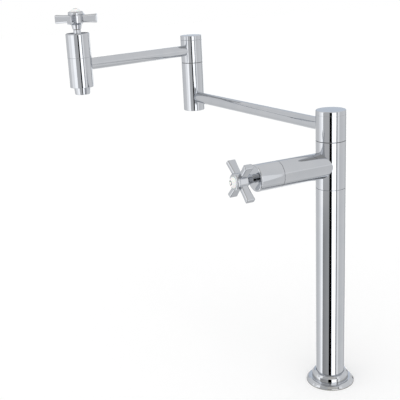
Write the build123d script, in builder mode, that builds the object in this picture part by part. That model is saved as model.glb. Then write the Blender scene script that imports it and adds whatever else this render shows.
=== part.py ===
"""Deck-standing pot filler: a tall post with a side valve, two swivelling arms and a valved spout.

The origin is on the deck at the axis of the post. Z is up and the side valve points along -Y.
The lower arm turns on the post, the upper arm turns on the elbow, and each cross handle opens
a ceramic disc valve through a quarter turn. All sizes are in millimetres, all angles in degrees.
"""

from build123d import *
from math import cos, radians, sin
import os

# ---------------------------------------------------------------- clearances
running_clearance = 0.06  # radial, between a spindle or stem and its bore
face_clearance = 0.05  # between faces that turn on each other
braze_gap = 0.05  # radial, round a tube or saddle before the solder fills it
thread_clearance = 0.05  # radial, between mating threads
cavity_clearance = 0.2  # radial, between the foot and the flange's hollow
seam_chamfer = 0.3  # on the visible edges of each seam

# ---------------------------------------------------------------- base
flange_radius = 29.5
flange_thickness = 4.6
flange_rim_round = 4.4
collar_radius = 22.3
collar_height = 14.2
collar_round = 3.8
cavity_height = 8.4  # hollow under the flange
gasket_outer_radius = 27.4
gasket_thickness = 1.5
foot_radius = 20.0
foot_thickness = 6.0
foot_length = 30.0
inlet_thread_radius = 9.3
inlet_thread_length = 15.0
foot_waterway_radius = 7.0

# ---------------------------------------------------------------- post
post_radius = 17.5
post_tube_wall = 1.5
tee_seam_height = 254.2
tee_height = 56.1
tee_spigot_length = 16.0
tee_chamber_radius = 13.0
divider_thickness = 2.4  # web between the inlet and the outlet chamber

# ---------------------------------------------------------------- arms
arm_radius = 7.5
arm_wall = 1.2
arm_socket_depth = 5.0
arm_port_radius = 4.5
lower_arm_length = 304.8
lower_arm_bearing = 183.65
upper_arm_length = 190.5
upper_arm_bearing = 283.4

# ---------------------------------------------------------------- swivels
washer_thickness = 0.5
washer_inset = 0.7  # how far the washer stays behind the visible surface
foot_thread_length = 12.0
foot_thread_step = 1.2  # thread radius beyond the spindle radius
spindle_waterway_radius = 5.0
groove_depth = 1.8
groove_width = 9.0
cross_hole_radius = 2.4
cross_hole_count = 4
ring_offset = 6.8  # from the water groove to each O-ring
retainer_depth = 5.2  # from the housing top to the retaining ring's seat
retainer_washer_thickness = 0.6
retainer_thickness = 1.2
retainer_height = 2.6  # how far the ring stands out of the spindle
retainer_groove_depth = 1.2
retainer_opening = 5.0
spindle_end = 1.5  # spindle beyond its retaining ring
well_wall = 4.2  # housing wall round the retaining ring's well
cap_spigot_length = 3.0
cap_spigot_wall = 1.4
cap_recess_depth = 1.0
cap_round = 0.7

post_spindle_radius = 9.0
lower_arm_rise = 16.3  # arm axis above the post's swivel seam
post_housing_height = 30.5
post_cap_height = 5.1

elbow_radius = 15.4
elbow_spindle_radius = 8.0
elbow_drop = 19.5  # elbow's lower end below the lower arm
elbow_rise = 49.8  # elbow's swivel seam above the lower arm
elbow_end_round = 0.8
upper_arm_rise = 17.5  # arm axis above the elbow's swivel seam
elbow_housing_height = 32.5
elbow_cap_height = 6.1

# ---------------------------------------------------------------- O-rings
ring_section = 1.8
ring_groove_width = 2.2
ring_squeeze = 0.02  # radial, between a ring and the bore it seals

# ---------------------------------------------------------------- valves
valve_radius = 15.4
valve_rise = 27.7  # side valve's axis above the tee's lower seam
valve_reach = 74.0  # from the post's axis to the sleeve seam
sleeve_length = 30.6
sleeve_end_wall = 4.0
sleeve_round = 1.7
nose_radius = 12.0
nose_length = 9.0
pocket_radius = 9.5
pocket_depth = 24.0
valve_inlet_radius = 5.0
return_bore_radius = 2.0
return_port_radius = 1.7
return_bore_margin = 0.5  # bore beyond its port, and chamber floor below the bores
return_bore_angles = (60, 90, 120)
return_port_depth = 9.0  # from the seam to the ports that feed the return bores

seat_seal_radius = 9.2
seat_seal_bore = 5.5
seat_seal_thickness = 1.8
disc_radius = 7.7
disc_thickness = 3.0
port_pitch_radius = 4.4
port_width = 3.4
port_arc = 36.0
drum_clearance = 0.1
drum_channel = 0.7  # water gap round the cartridge drum
drum_roof_depth = 4.0  # roof of the drum's cavity below the seam
window_width = 6.0
window_top_depth = 7.0
window_height = 8.0
cartridge_flange_radius = 11.6
cartridge_flange_height = 2.5
hex_flats = 17.0
hex_height = 6.0
gland_radius = 7.0

stem_radius = 3.9
drive_bar_length = 14.0
drive_bar_width = 5.0
drive_bar_height = 3.1
drive_tongue = 1.2
drive_clearance = 0.05
stem_shoulder_radius = 6.6
stem_shoulder_height = 2.0
stem_ring_section = 1.6
stem_ring_heights = (3.0, 20.0)
stem_square = 5.4
screw_radius = 2.0
screw_length = 11.0
screw_hole_spare = 1.0
screw_head_radius = 3.4
screw_head_height = 2.2
screw_socket_flats = 2.5
screw_socket_depth = 1.4

stem_collar_radius = 4.85
stem_collar_rise = 4.6  # collar above the sleeve's end face
stem_collar_flange = 6.4
stem_collar_flange_height = 1.4

# ---------------------------------------------------------------- cross handles
front_cross_angle = 48.0
spout_cross_angle = 39.0
handle_gap = 0.3  # running gap between the stem collar and the handle
neck_base_radius = 5.5
neck_top_radius = 6.8
neck_top_rise = 10.4  # above the sleeve's end face
hub_radius = 9.3
hub_base_rise = 13.0  # top of the flare between neck and hub
hub_top_rise = 22.9  # above the sleeve's end face
broach_clearance = 0.05
broach_depth = 11.6
web_thickness = 3.0
hub_recess_radius = 5.6
blade_rise = 17.9  # middle of the blades above the sleeve's end face
blade_count = 4
blade_reach = 27.6
blade_tip_length = 1.2
blade_corner_round = 1.9
blade_root_reach = 3.0
blade_root_width = 6.4
blade_root_depth = 9.6
blade_waist_reach = 13.6
blade_waist_width = 6.2
blade_waist_depth = 9.6
blade_end_width = 6.3
blade_end_depth = 11.1

index_cap_radius = 9.8
index_cap_height = 4.1
index_cap_floor = 1.4
index_cap_lower_round = 0.8
index_cap_upper_round = 2.2
index_spigot_length = 2.8
index_spigot_wall = 1.3
button_radius = 6.8
button_clearance = 0.1
button_dome_height = 4.0
mark_inner_radius = 2.0
mark_outer_radius = 2.8
mark_depth = 0.4

# ---------------------------------------------------------------- spout and aerator
spout_drop = 28.0  # spout body's lower end below the upper arm
spout_seam_rise = 10.3  # spout's sleeve seam above the upper arm
spout_end_round = 0.6
aerator_top_radius = 10.6
aerator_end_radius = 9.8
aerator_length = 9.4
aerator_round = 0.8
aerator_thread_radius = 8.9
aerator_thread_length = 4.6
aerator_bore_radius = 8.1
aerator_lip_radius = 7.4
aerator_lip_height = 1.5
aerator_washer_bore = 6.0
aerator_washer_thickness = 1.5
insert_clearance = 0.1
insert_length = 8.0
insert_plate = 2.0
insert_wall = 1.0
insert_hole_radius = 0.8
insert_hole_rings = ((3.0, 6), (5.6, 12))  # pitch radius and number of holes

# ---------------------------------------------------------------- derived places
post_tube_bore = post_radius - post_tube_wall
swivel_seam_height = tee_seam_height + tee_height
lower_arm_height = swivel_seam_height + lower_arm_rise
valve_height = tee_seam_height + valve_rise
elbow_seam_height = lower_arm_height + elbow_rise
upper_arm_height = elbow_seam_height + upper_arm_rise
spout_bottom_height = upper_arm_height - spout_drop
spout_seam_height = upper_arm_height + spout_seam_rise


def toward(bearing):
    """Level direction at a bearing, counted from +X towards +Y."""
    return Vector(cos(radians(bearing)), sin(radians(bearing)), 0)


elbow_axis = toward(lower_arm_bearing) * lower_arm_length
spout_axis = elbow_axis + toward(upper_arm_bearing) * upper_arm_length

# Each seam plane has its origin where a turned stack starts, Z along the stack and X towards its arm.
post_seam = Plane((0, 0, swivel_seam_height), x_dir=toward(lower_arm_bearing), z_dir=(0, 0, 1))
elbow_seam = Plane(
    elbow_axis + Vector(0, 0, elbow_seam_height), x_dir=toward(upper_arm_bearing), z_dir=(0, 0, 1)
)
front_seam = Plane((0, -valve_reach, valve_height), x_dir=(1, 0, 0), z_dir=(0, -1, 0))
spout_seam = Plane(
    spout_axis + Vector(0, 0, spout_seam_height), x_dir=-toward(upper_arm_bearing), z_dir=(0, 0, 1)
)

# Heights above a valve's sleeve seam, from the pocket floor outwards.
disc_seat = seat_seal_thickness - pocket_depth
moving_disc_base = disc_seat + disc_thickness + face_clearance
stem_base = moving_disc_base + disc_thickness
drum_radius = pocket_radius - drum_channel
drum_bore = disc_radius + drum_clearance
stem_bore = stem_radius + running_clearance
sleeve_ceiling = sleeve_length - sleeve_end_wall
gland_top = sleeve_ceiling - stem_collar_flange_height
collar_top = sleeve_length + stem_collar_rise
neck_base = collar_top + handle_gap
neck_top = sleeve_length + neck_top_rise
hub_base = sleeve_length + hub_base_rise
hub_top = sleeve_length + hub_top_rise
broach_top = neck_base + broach_depth
web_top = broach_top + web_thickness
blade_middle = sleeve_length + blade_rise
cap_top = hub_top + index_cap_height
cap_floor_top = hub_top + index_cap_floor
return_offset = (pocket_radius + valve_radius) / 2
lowest_return_axis = valve_height + return_offset * sin(radians(min(return_bore_angles)))
lowest_return_bore = lowest_return_axis - return_bore_radius
outlet_chamber_floor = lowest_return_bore - return_bore_margin
inlet_chamber_top = outlet_chamber_floor - divider_thickness


# ---------------------------------------------------------------- helpers
def half_section(seam):
    """Plane through a stack's axis, where X is the radius and Y the height above the seam."""
    return Plane(seam.origin, x_dir=seam.x_dir, z_dir=-seam.y_dir)


def turned(seam, angle):
    """The same plane with its X axis turned about its Z axis."""
    stack_direction = Axis((0, 0, 0), seam.z_dir)
    return Plane(seam.origin, x_dir=seam.x_dir.rotate(stack_direction, angle), z_dir=seam.z_dir)


def stack_axis(seam):
    """Axis that a stack's turned pieces share."""
    return Axis(seam.origin, seam.z_dir)


def corner(section, radius, height):
    """Vertex of a half section that lies at this radius and height."""
    return section.vertices().sort_by_distance((radius, height, 0))[0]


def keep(name, piece):
    """Label a finished piece and write it to its own file."""
    piece.label = name
    export_step(piece, f"parts/{name}.step")


def ring(seam, inner_radius, outer_radius, start, thickness):
    """Flat ring from one height above the seam, as thick as given."""
    with BuildPart() as flat_ring:
        with BuildSketch(seam.offset(start)):
            Circle(outer_radius)
            Circle(inner_radius, mode=Mode.SUBTRACT)
        extrude(amount=thickness)
    return flat_ring.part


def bore(seam, radius, start, end):
    """Drill shape along a stack's axis between two heights."""
    with BuildPart() as drill:
        with BuildSketch(seam.offset(start)):
            Circle(radius)
        extrude(amount=end - start)
    return drill.part


def o_rings(seam, groove_radius, outer_radius, heights, section):
    """Rubber rings of squeezed oval section, one at each height, sitting in their grooves."""
    with BuildPart() as rings:
        for height in heights:
            with BuildSketch(half_section(seam)):
                with Locations(((groove_radius + outer_radius) / 2, height)):
                    Ellipse((outer_radius - groove_radius) / 2, section / 2)
            revolve(axis=stack_axis(seam))
    return rings.part


def arm_socket(axis_point, direction, outer_radius, inner_end):
    """Cut for an arm tube: a socket from outside a round body, and its port on to the waterway."""
    entry = Plane(axis_point, z_dir=direction)
    socket_floor = outer_radius - arm_socket_depth
    with BuildPart() as socket:
        with BuildSketch(entry.offset(socket_floor)):
            Circle(arm_radius + braze_gap)
        extrude(amount=outer_radius)
        with BuildSketch(entry.offset(inner_end)):
            Circle(arm_port_radius)
        extrude(amount=socket_floor - inner_end)
    return socket.part


def arm_tube(axis_point, direction, length, near_radius, far_radius):
    """Straight arm tube, seated at both ends on the floors of its sockets."""
    near_end = near_radius - arm_socket_depth
    far_end = length - far_radius + arm_socket_depth
    with BuildPart() as tube:
        with BuildSketch(Plane(axis_point, z_dir=direction).offset(near_end)):
            Circle(arm_radius)
            Circle(arm_radius - arm_wall, mode=Mode.SUBTRACT)
        extrude(amount=far_end - near_end)
    return tube.part


# ---------------------------------------------------------------- swivel pieces
def swivel_spindle(seam, spindle_radius, arm_rise, housing_height):
    """Hollow spindle: threaded foot, water groove with cross holes, two O-ring grooves, ring groove."""
    ring_seat = housing_height - retainer_depth + retainer_washer_thickness + face_clearance
    top = ring_seat + retainer_thickness + spindle_end
    with BuildPart() as spindle:
        with BuildSketch(seam.offset(-foot_thread_length)):
            Circle(spindle_radius + foot_thread_step)
        extrude(amount=foot_thread_length)
        with BuildSketch(seam):
            Circle(spindle_radius)
        extrude(amount=top)
        waterway_top = arm_rise + groove_width / 2
        add(bore(seam, spindle_waterway_radius, -foot_thread_length, waterway_top), mode=Mode.SUBTRACT)
        groove_floor = spindle_radius - groove_depth
        groove = ring(seam, groove_floor, 2 * spindle_radius, arm_rise - groove_width / 2, groove_width)
        add(groove, mode=Mode.SUBTRACT)
        for number in range(cross_hole_count):
            spoke = turned(seam.offset(arm_rise), number * 360 / cross_hole_count)
            with BuildSketch(Plane(spoke.origin, z_dir=spoke.x_dir)):
                Circle(cross_hole_radius)
            extrude(amount=spindle_radius, mode=Mode.SUBTRACT)
        for height in (arm_rise - ring_offset, arm_rise + ring_offset):
            ring_groove = ring(
                seam, spindle_radius - ring_section + ring_squeeze, 2 * spindle_radius,
                height - ring_groove_width / 2, ring_groove_width,
            )
            add(ring_groove, mode=Mode.SUBTRACT)
        retainer_floor = spindle_radius - retainer_groove_depth
        retainer_groove = ring(seam, retainer_floor, 2 * spindle_radius, ring_seat, retainer_thickness)
        add(retainer_groove, mode=Mode.SUBTRACT)
    return spindle.part


def swivel_rings(seam, spindle_radius, arm_rise):
    """The spindle's two O-rings, above and below its water groove."""
    outer = spindle_radius + running_clearance - ring_squeeze
    heights = (arm_rise - ring_offset, arm_rise + ring_offset)
    return o_rings(seam, spindle_radius - ring_section + ring_squeeze, outer, heights, ring_section)


def retaining_ring(seam, spindle_radius, housing_height):
    """Open spring ring in the spindle's top groove."""
    ring_seat = housing_height - retainer_depth + retainer_washer_thickness + face_clearance
    with BuildPart() as clip:
        with BuildSketch(seam.offset(ring_seat)):
            Circle(spindle_radius - retainer_groove_depth + retainer_height)
            Circle(spindle_radius - retainer_groove_depth, mode=Mode.SUBTRACT)
            with Locations((spindle_radius, 0)):
                Rectangle(2 * spindle_radius, retainer_opening, mode=Mode.SUBTRACT)
        extrude(amount=retainer_thickness)
    return clip.part


def swivel_housing(seam, outer_radius, spindle_radius, arm_rise, housing_height):
    """Round housing that turns on the spindle and carries an arm, with a well for the retaining ring."""
    seat = housing_height - retainer_depth
    start = washer_thickness + face_clearance
    bore_radius = spindle_radius + running_clearance
    well_radius = outer_radius - well_wall
    with BuildPart() as housing:
        with BuildSketch(half_section(seam)) as section:
            with BuildLine():
                Polyline(
                    (bore_radius, start),
                    (outer_radius, start),
                    (outer_radius, housing_height),
                    (well_radius, housing_height),
                    (well_radius, seat),
                    (bore_radius, seat),
                    close=True,
                )
            make_face()
            chamfer(corner(section, outer_radius, start), seam_chamfer)
            chamfer(corner(section, outer_radius, housing_height), seam_chamfer)
        revolve(axis=stack_axis(seam))
        arm_centre = seam.offset(arm_rise).origin
        add(arm_socket(arm_centre, seam.x_dir, outer_radius, spindle_radius), mode=Mode.SUBTRACT)
    return housing.part


def swivel_cap(seam, outer_radius, housing_height, cap_height):
    """Flat round cap with a threaded spigot that closes the housing's well."""
    top = housing_height + cap_height
    spigot_radius = outer_radius - well_wall - thread_clearance
    with BuildPart() as cap:
        with BuildSketch(half_section(seam)) as section:
            with BuildLine():
                Polyline(
                    (0, housing_height + cap_recess_depth),
                    (spigot_radius - cap_spigot_wall, housing_height + cap_recess_depth),
                    (spigot_radius - cap_spigot_wall, housing_height - cap_spigot_length),
                    (spigot_radius, housing_height - cap_spigot_length),
                    (spigot_radius, housing_height),
                    (outer_radius, housing_height),
                    (outer_radius, top),
                    (0, top),
                    close=True,
                )
            make_face()
            chamfer(corner(section, outer_radius, housing_height), seam_chamfer)
            fillet(corner(section, outer_radius, top), cap_round)
        revolve(axis=stack_axis(seam))
    return cap.part


def swivel(prefix, housing_name, seam, outer_radius, spindle_radius, arm_rise, housing_height, cap_height):
    """All the pieces of one swivel, from its thrust washer to its cap."""
    keep(f"{prefix}_spindle", swivel_spindle(seam, spindle_radius, arm_rise, housing_height))
    keep(f"{prefix}_spindle_orings", swivel_rings(seam, spindle_radius, arm_rise))
    washer_bore = spindle_radius + running_clearance
    thrust_washer = ring(seam, washer_bore, outer_radius - washer_inset, 0, washer_thickness)
    keep(f"{prefix}_thrust_washer", thrust_washer)
    washer_seat = housing_height - retainer_depth + face_clearance
    washer_radius = spindle_radius - retainer_groove_depth + retainer_height
    bearing_washer = ring(seam, washer_bore, washer_radius, washer_seat, retainer_washer_thickness)
    keep(f"{prefix}_bearing_washer", bearing_washer)
    keep(f"{prefix}_retaining_ring", retaining_ring(seam, spindle_radius, housing_height))
    keep(housing_name, swivel_housing(seam, outer_radius, spindle_radius, arm_rise, housing_height))
    keep(f"{prefix}_cap", swivel_cap(seam, outer_radius, housing_height, cap_height))


# ---------------------------------------------------------------- valve pieces
def cartridge_pocket(seam):
    """Bored pocket that takes a cartridge, through the threaded nose."""
    return bore(seam, pocket_radius, -pocket_depth, nose_length)


def valve_sleeve(seam):
    """Polished sleeve: it screws over the nose, clamps the cartridge and hides it."""
    thread_bore = nose_radius + thread_clearance
    collar_hole = stem_collar_radius + thread_clearance
    with BuildPart() as sleeve:
        with BuildSketch(half_section(seam)) as section:
            with BuildLine():
                Polyline(
                    (thread_bore, 0),
                    (valve_radius, 0),
                    (valve_radius, sleeve_length),
                    (collar_hole, sleeve_length),
                    (collar_hole, sleeve_ceiling),
                    (thread_bore, sleeve_ceiling),
                    close=True,
                )
            make_face()
            chamfer(corner(section, valve_radius, 0), seam_chamfer)
            fillet(corner(section, valve_radius, sleeve_length), sleeve_round)
        revolve(axis=stack_axis(seam))
    return sleeve.part


def cartridge_body(seam):
    """Brass cartridge: drum with water windows round the discs, clamping flange, hexagon and gland."""
    clamp_top = nose_length + cartridge_flange_height
    hex_top = clamp_top + hex_height
    plug_radius = pocket_radius - thread_clearance
    with BuildPart() as body:
        with BuildSketch(half_section(seam)):
            with BuildLine():
                Polyline(
                    (drum_bore, disc_seat),
                    (drum_radius, disc_seat),
                    (drum_radius, -drum_roof_depth),
                    (plug_radius, -drum_roof_depth),
                    (plug_radius, nose_length),
                    (cartridge_flange_radius, nose_length),
                    (cartridge_flange_radius, clamp_top),
                    (gland_radius, clamp_top),
                    (gland_radius, gland_top),
                    (stem_bore, gland_top),
                    (stem_bore, -drum_roof_depth),
                    (drum_bore, -drum_roof_depth),
                    close=True,
                )
            make_face()
        revolve(axis=stack_axis(seam))
        with BuildSketch(seam.offset(clamp_top)):
            RegularPolygon(hex_flats / 2, 6, major_radius=False)
            Circle(gland_radius, mode=Mode.SUBTRACT)
        extrude(amount=hex_height)
        window_middle = -window_top_depth - window_height / 2
        for quarter in (0, 90):
            with BuildSketch(half_section(turned(seam, quarter))):
                with Locations((0, window_middle)):
                    Rectangle(window_width, window_height)
            extrude(amount=pocket_radius, both=True, mode=Mode.SUBTRACT)
    return body.part


def ported_disc(seam, start, port_angle):
    """Lapped ceramic disc with two kidney ports, centred on the port angle and opposite it."""
    with BuildPart() as disc:
        with BuildSketch(turned(seam.offset(start), port_angle)):
            Circle(disc_radius)
            for side in (0, 180):
                kidney = Edge.make_circle(
                    port_pitch_radius, start_angle=side - port_arc / 2, end_angle=side + port_arc / 2
                )
                SlotArc(kidney, port_width, mode=Mode.SUBTRACT)
        extrude(amount=disc_thickness)
    return disc.part


def moving_disc(seam):
    """Upper disc, shut at rest, with a slot across its top that the stem's tongue drives."""
    with BuildPart() as disc:
        add(ported_disc(seam, moving_disc_base, 90))
        with BuildSketch(seam.offset(stem_base)):
            Rectangle(2 * disc_radius, drive_bar_width + 2 * drive_clearance)
        extrude(amount=-drive_tongue, mode=Mode.SUBTRACT)
    return disc.part


def valve_stem(seam):
    """Stem: drive bar with its tongue, retaining shoulder, ring grooves, square end and screw hole."""
    bar_top = stem_base + drive_bar_height
    shoulder_top = -drum_roof_depth - face_clearance
    stem_top = broach_top - broach_clearance
    with BuildPart() as stem:
        with BuildSketch(seam.offset(stem_base - drive_tongue + drive_clearance)):
            Rectangle(drive_bar_length, drive_bar_width)
        extrude(amount=drive_tongue - drive_clearance + drive_bar_height)
        with BuildSketch(seam.offset(bar_top)):
            Circle(stem_radius)
        extrude(amount=collar_top - bar_top)
        with BuildSketch(seam.offset(shoulder_top)):
            Circle(stem_shoulder_radius)
        extrude(amount=-stem_shoulder_height)
        with BuildSketch(seam.offset(collar_top)):
            Rectangle(stem_square, stem_square)
        extrude(amount=stem_top - collar_top)
        for height in stem_ring_heights:
            groove = ring(
                seam, stem_radius - stem_ring_section + ring_squeeze, 2 * stem_radius,
                height - ring_groove_width / 2, ring_groove_width,
            )
            add(groove, mode=Mode.SUBTRACT)
        screw_hole_floor = web_top - screw_length - screw_hole_spare
        add(bore(seam, screw_radius + thread_clearance, screw_hole_floor, stem_top), mode=Mode.SUBTRACT)
    return stem.part


def stem_rings(seam):
    """The stem's two O-rings inside the cartridge."""
    inner = stem_radius - stem_ring_section + ring_squeeze
    outer = stem_bore - ring_squeeze
    return o_rings(seam, inner, outer, stem_ring_heights, stem_ring_section)


def stem_collar(seam):
    """Plated collar that stands out of the sleeve round the stem, held by its flange behind the end wall."""
    with BuildPart() as collar:
        with BuildSketch(half_section(seam)) as section:
            with BuildLine():
                Polyline(
                    (stem_bore, gland_top),
                    (stem_collar_flange, gland_top),
                    (stem_collar_flange, sleeve_ceiling),
                    (stem_collar_radius, sleeve_ceiling),
                    (stem_collar_radius, collar_top),
                    (stem_bore, collar_top),
                    close=True,
                )
            make_face()
            chamfer(corner(section, stem_collar_radius, collar_top), seam_chamfer)
        revolve(axis=stack_axis(seam))
    return collar.part


# ---------------------------------------------------------------- handle pieces
def blade_sections():
    """Reach, width and depth of a blade's lofted sections, from inside the hub to its end."""
    return (
        (blade_root_reach, blade_root_width, blade_root_depth),
        (blade_waist_reach, blade_waist_width, blade_waist_depth),
        (blade_reach - blade_tip_length, blade_end_width, blade_end_depth),
    )


def cross_handle(seam, angle):
    """Cross handle: tapered neck and flared hub with four blades that widen to their ends."""
    with BuildPart() as handle:
        with BuildSketch(half_section(seam)):
            with BuildLine():
                Polyline(
                    (0, neck_base),
                    (neck_base_radius, neck_base),
                    (neck_top_radius, neck_top),
                    (hub_radius, hub_base),
                    (hub_radius, hub_top),
                    (0, hub_top),
                    close=True,
                )
            make_face()
        revolve(axis=stack_axis(seam))
        for number in range(blade_count):
            spoke = turned(seam.offset(blade_middle), angle + number * 360 / blade_count)
            outward = Plane(spoke.origin, x_dir=spoke.y_dir, z_dir=spoke.x_dir)
            for reach, width, depth in blade_sections():
                with BuildSketch(outward.offset(reach)):
                    RectangleRounded(width, depth, blade_corner_round)
            loft()
            for reach, inset in ((blade_reach - blade_tip_length, 0), (blade_reach, blade_tip_length)):
                corner_round = blade_corner_round - inset / 2
                with BuildSketch(outward.offset(reach)):
                    RectangleRounded(blade_end_width - inset, blade_end_depth - inset, corner_round)
            loft(ruled=True)
        with BuildSketch(seam.offset(neck_base)):
            Rectangle(stem_square + 2 * broach_clearance, stem_square + 2 * broach_clearance)
        extrude(amount=broach_depth, mode=Mode.SUBTRACT)
        add(bore(seam, screw_radius + thread_clearance, broach_top, web_top), mode=Mode.SUBTRACT)
        add(bore(seam, hub_recess_radius, web_top, hub_top), mode=Mode.SUBTRACT)
    return handle.part


def handle_screw(seam):
    """Socket-head screw that holds the handle down on the stem."""
    with BuildPart() as screw:
        with BuildSketch(seam.offset(web_top - screw_length)):
            Circle(screw_radius)
        extrude(amount=screw_length)
        with BuildSketch(seam.offset(web_top)):
            Circle(screw_head_radius)
        extrude(amount=screw_head_height)
        with BuildSketch(seam.offset(web_top + screw_head_height)):
            RegularPolygon(screw_socket_flats / 2, 6, major_radius=False)
        extrude(amount=-screw_socket_depth, mode=Mode.SUBTRACT)
    return screw.part


def index_cap(seam):
    """Rounded plated ring on top of the hub, with a spigot below and a seat for the button above."""
    spigot_radius = hub_recess_radius - thread_clearance
    seat_radius = button_radius + button_clearance
    with BuildPart() as cap:
        with BuildSketch(half_section(seam)) as section:
            with BuildLine():
                Polyline(
                    (0, hub_top),
                    (spigot_radius - index_spigot_wall, hub_top),
                    (spigot_radius - index_spigot_wall, hub_top - index_spigot_length),
                    (spigot_radius, hub_top - index_spigot_length),
                    (spigot_radius, hub_top),
                    (index_cap_radius, hub_top),
                    (index_cap_radius, cap_top),
                    (seat_radius, cap_top),
                    (seat_radius, cap_floor_top),
                    (0, cap_floor_top),
                    close=True,
                )
            make_face()
            fillet(corner(section, index_cap_radius, hub_top), index_cap_lower_round)
            fillet(corner(section, index_cap_radius, cap_top), index_cap_upper_round)
        revolve(axis=stack_axis(seam))
    return cap.part


def button_blank(seam):
    """Domed button before its ring groove: a short drum under a spherical cap."""
    dome_top = cap_top + button_dome_height
    sphere_radius = (button_radius**2 + button_dome_height**2) / (2 * button_dome_height)
    with BuildPart() as blank:
        with BuildSketch(half_section(seam)):
            with BuildLine():
                Polyline(
                    (0, dome_top),
                    (0, cap_floor_top),
                    (button_radius, cap_floor_top),
                    (button_radius, cap_top),
                )
                RadiusArc((button_radius, cap_top), (0, dome_top), -sphere_radius)
            make_face()
        revolve(axis=stack_axis(seam))
    return blank.part


def index_mark(seam):
    """Plain ring of coloured glaze that lies flush in the button's dome."""
    blank = button_blank(seam)
    with BuildPart() as mark:
        add(ring(seam, mark_inner_radius, mark_outer_radius, cap_top, button_dome_height))
        add(blank, mode=Mode.INTERSECT)
        add(blank.moved(Location(seam.z_dir * -mark_depth)), mode=Mode.SUBTRACT)
    return mark.part


def index_button(seam):
    """Porcelain button with its groove for the ring mark."""
    with BuildPart() as button:
        add(button_blank(seam))
        add(index_mark(seam), mode=Mode.SUBTRACT)
    return button.part


def valve(prefix, seam, cross_angle):
    """All the pieces of one valve outside its body: sleeve, cartridge, stem and cross handle."""
    keep(f"{prefix}_valve_sleeve", valve_sleeve(seam))
    keep(f"{prefix}_cartridge_body", cartridge_body(seam))
    seat_seal = ring(seam, seat_seal_bore, seat_seal_radius, -pocket_depth, seat_seal_thickness)
    keep(f"{prefix}_seat_seal", seat_seal)
    keep(f"{prefix}_fixed_disc", ported_disc(seam, disc_seat, 0))
    keep(f"{prefix}_moving_disc", moving_disc(seam))
    keep(f"{prefix}_stem", valve_stem(seam))
    keep(f"{prefix}_stem_orings", stem_rings(seam))
    keep(f"{prefix}_stem_collar", stem_collar(seam))
    keep(f"{prefix}_cross_handle", cross_handle(seam, cross_angle))
    keep(f"{prefix}_handle_screw", handle_screw(seam))
    keep(f"{prefix}_index_cap", index_cap(seam))
    keep(f"{prefix}_index_button", index_button(seam))
    keep(f"{prefix}_index_mark", index_mark(seam))


os.makedirs("parts", exist_ok=True)

# ---------------------------------------------------------------- base pieces
flange_bore = post_radius + braze_gap
cavity_radius = foot_radius + cavity_clearance
gasket_bore = cavity_radius + braze_gap

with BuildPart() as deck_flange:
    with BuildSketch(Plane.XZ) as section:
        with BuildLine():
            Polyline(
                (flange_bore, collar_height),
                (flange_bore, cavity_height),
                (cavity_radius, cavity_height),
                (cavity_radius, gasket_thickness),
                (gasket_outer_radius + braze_gap, gasket_thickness),
                (gasket_outer_radius + braze_gap, 0),
                (flange_radius, 0),
                (flange_radius, flange_thickness),
                (collar_radius, flange_thickness),
                (collar_radius, collar_height),
                close=True,
            )
        make_face()
        fillet(corner(section, flange_radius, flange_thickness), flange_rim_round)
        fillet(corner(section, collar_radius, collar_height), collar_round)
    revolve(axis=Axis.Z)
keep("deck_flange", deck_flange.part)

with BuildPart() as deck_gasket:
    with BuildSketch(Plane.XY):
        Circle(gasket_outer_radius)
        Circle(gasket_bore, mode=Mode.SUBTRACT)
    extrude(amount=gasket_thickness)
keep("deck_gasket", deck_gasket.part)

with BuildPart() as threaded_foot:
    with BuildSketch(Plane.XY):
        Circle(foot_radius)
    extrude(amount=foot_thickness)
    with BuildSketch(Plane.XY.offset(foot_thickness)):
        Circle(post_tube_bore - braze_gap)
    extrude(amount=foot_length - foot_thickness)
    with BuildSketch(Plane.XY):
        Circle(inlet_thread_radius)
    extrude(amount=inlet_thread_length, mode=Mode.SUBTRACT)
    with BuildSketch(Plane.XY.offset(inlet_thread_length)):
        Circle(foot_waterway_radius)
    extrude(amount=foot_length - inlet_thread_length, mode=Mode.SUBTRACT)
keep("threaded_foot", threaded_foot.part)

# ---------------------------------------------------------------- post pieces
with BuildPart() as post_tube:
    with BuildSketch(Plane.XY.offset(foot_thickness)):
        Circle(post_radius)
        Circle(post_tube_bore, mode=Mode.SUBTRACT)
    extrude(amount=tee_seam_height - foot_thickness)
    chamfer(post_tube.edges().group_by(Axis.Z)[-1].sort_by(SortBy.LENGTH)[-1], seam_chamfer)
keep("post_tube", post_tube.part)


def return_passages():
    """Outlet passages of the side valve: bores beside the pocket, fed by ports from its drum channel."""
    with BuildPart() as passages:
        with BuildSketch(front_seam.offset(return_port_radius + return_bore_margin - return_port_depth)):
            for bore_angle in return_bore_angles:
                with PolarLocations(return_offset, 1, start_angle=bore_angle):
                    Circle(return_bore_radius)
        extrude(amount=-valve_reach)
        for bore_angle in return_bore_angles:
            port_section = half_section(turned(front_seam, bore_angle))
            with BuildSketch(Plane(port_section.origin, x_dir=port_section.y_dir, z_dir=port_section.x_dir)):
                with Locations((-return_port_depth, 0)):
                    Circle(return_port_radius)
            extrude(amount=return_offset)
    return passages.part


tee_ring_height = tee_seam_height - tee_spigot_length / 2
spigot_radius = post_tube_bore - braze_gap
tee_ring_groove = spigot_radius - ring_section + ring_squeeze

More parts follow.
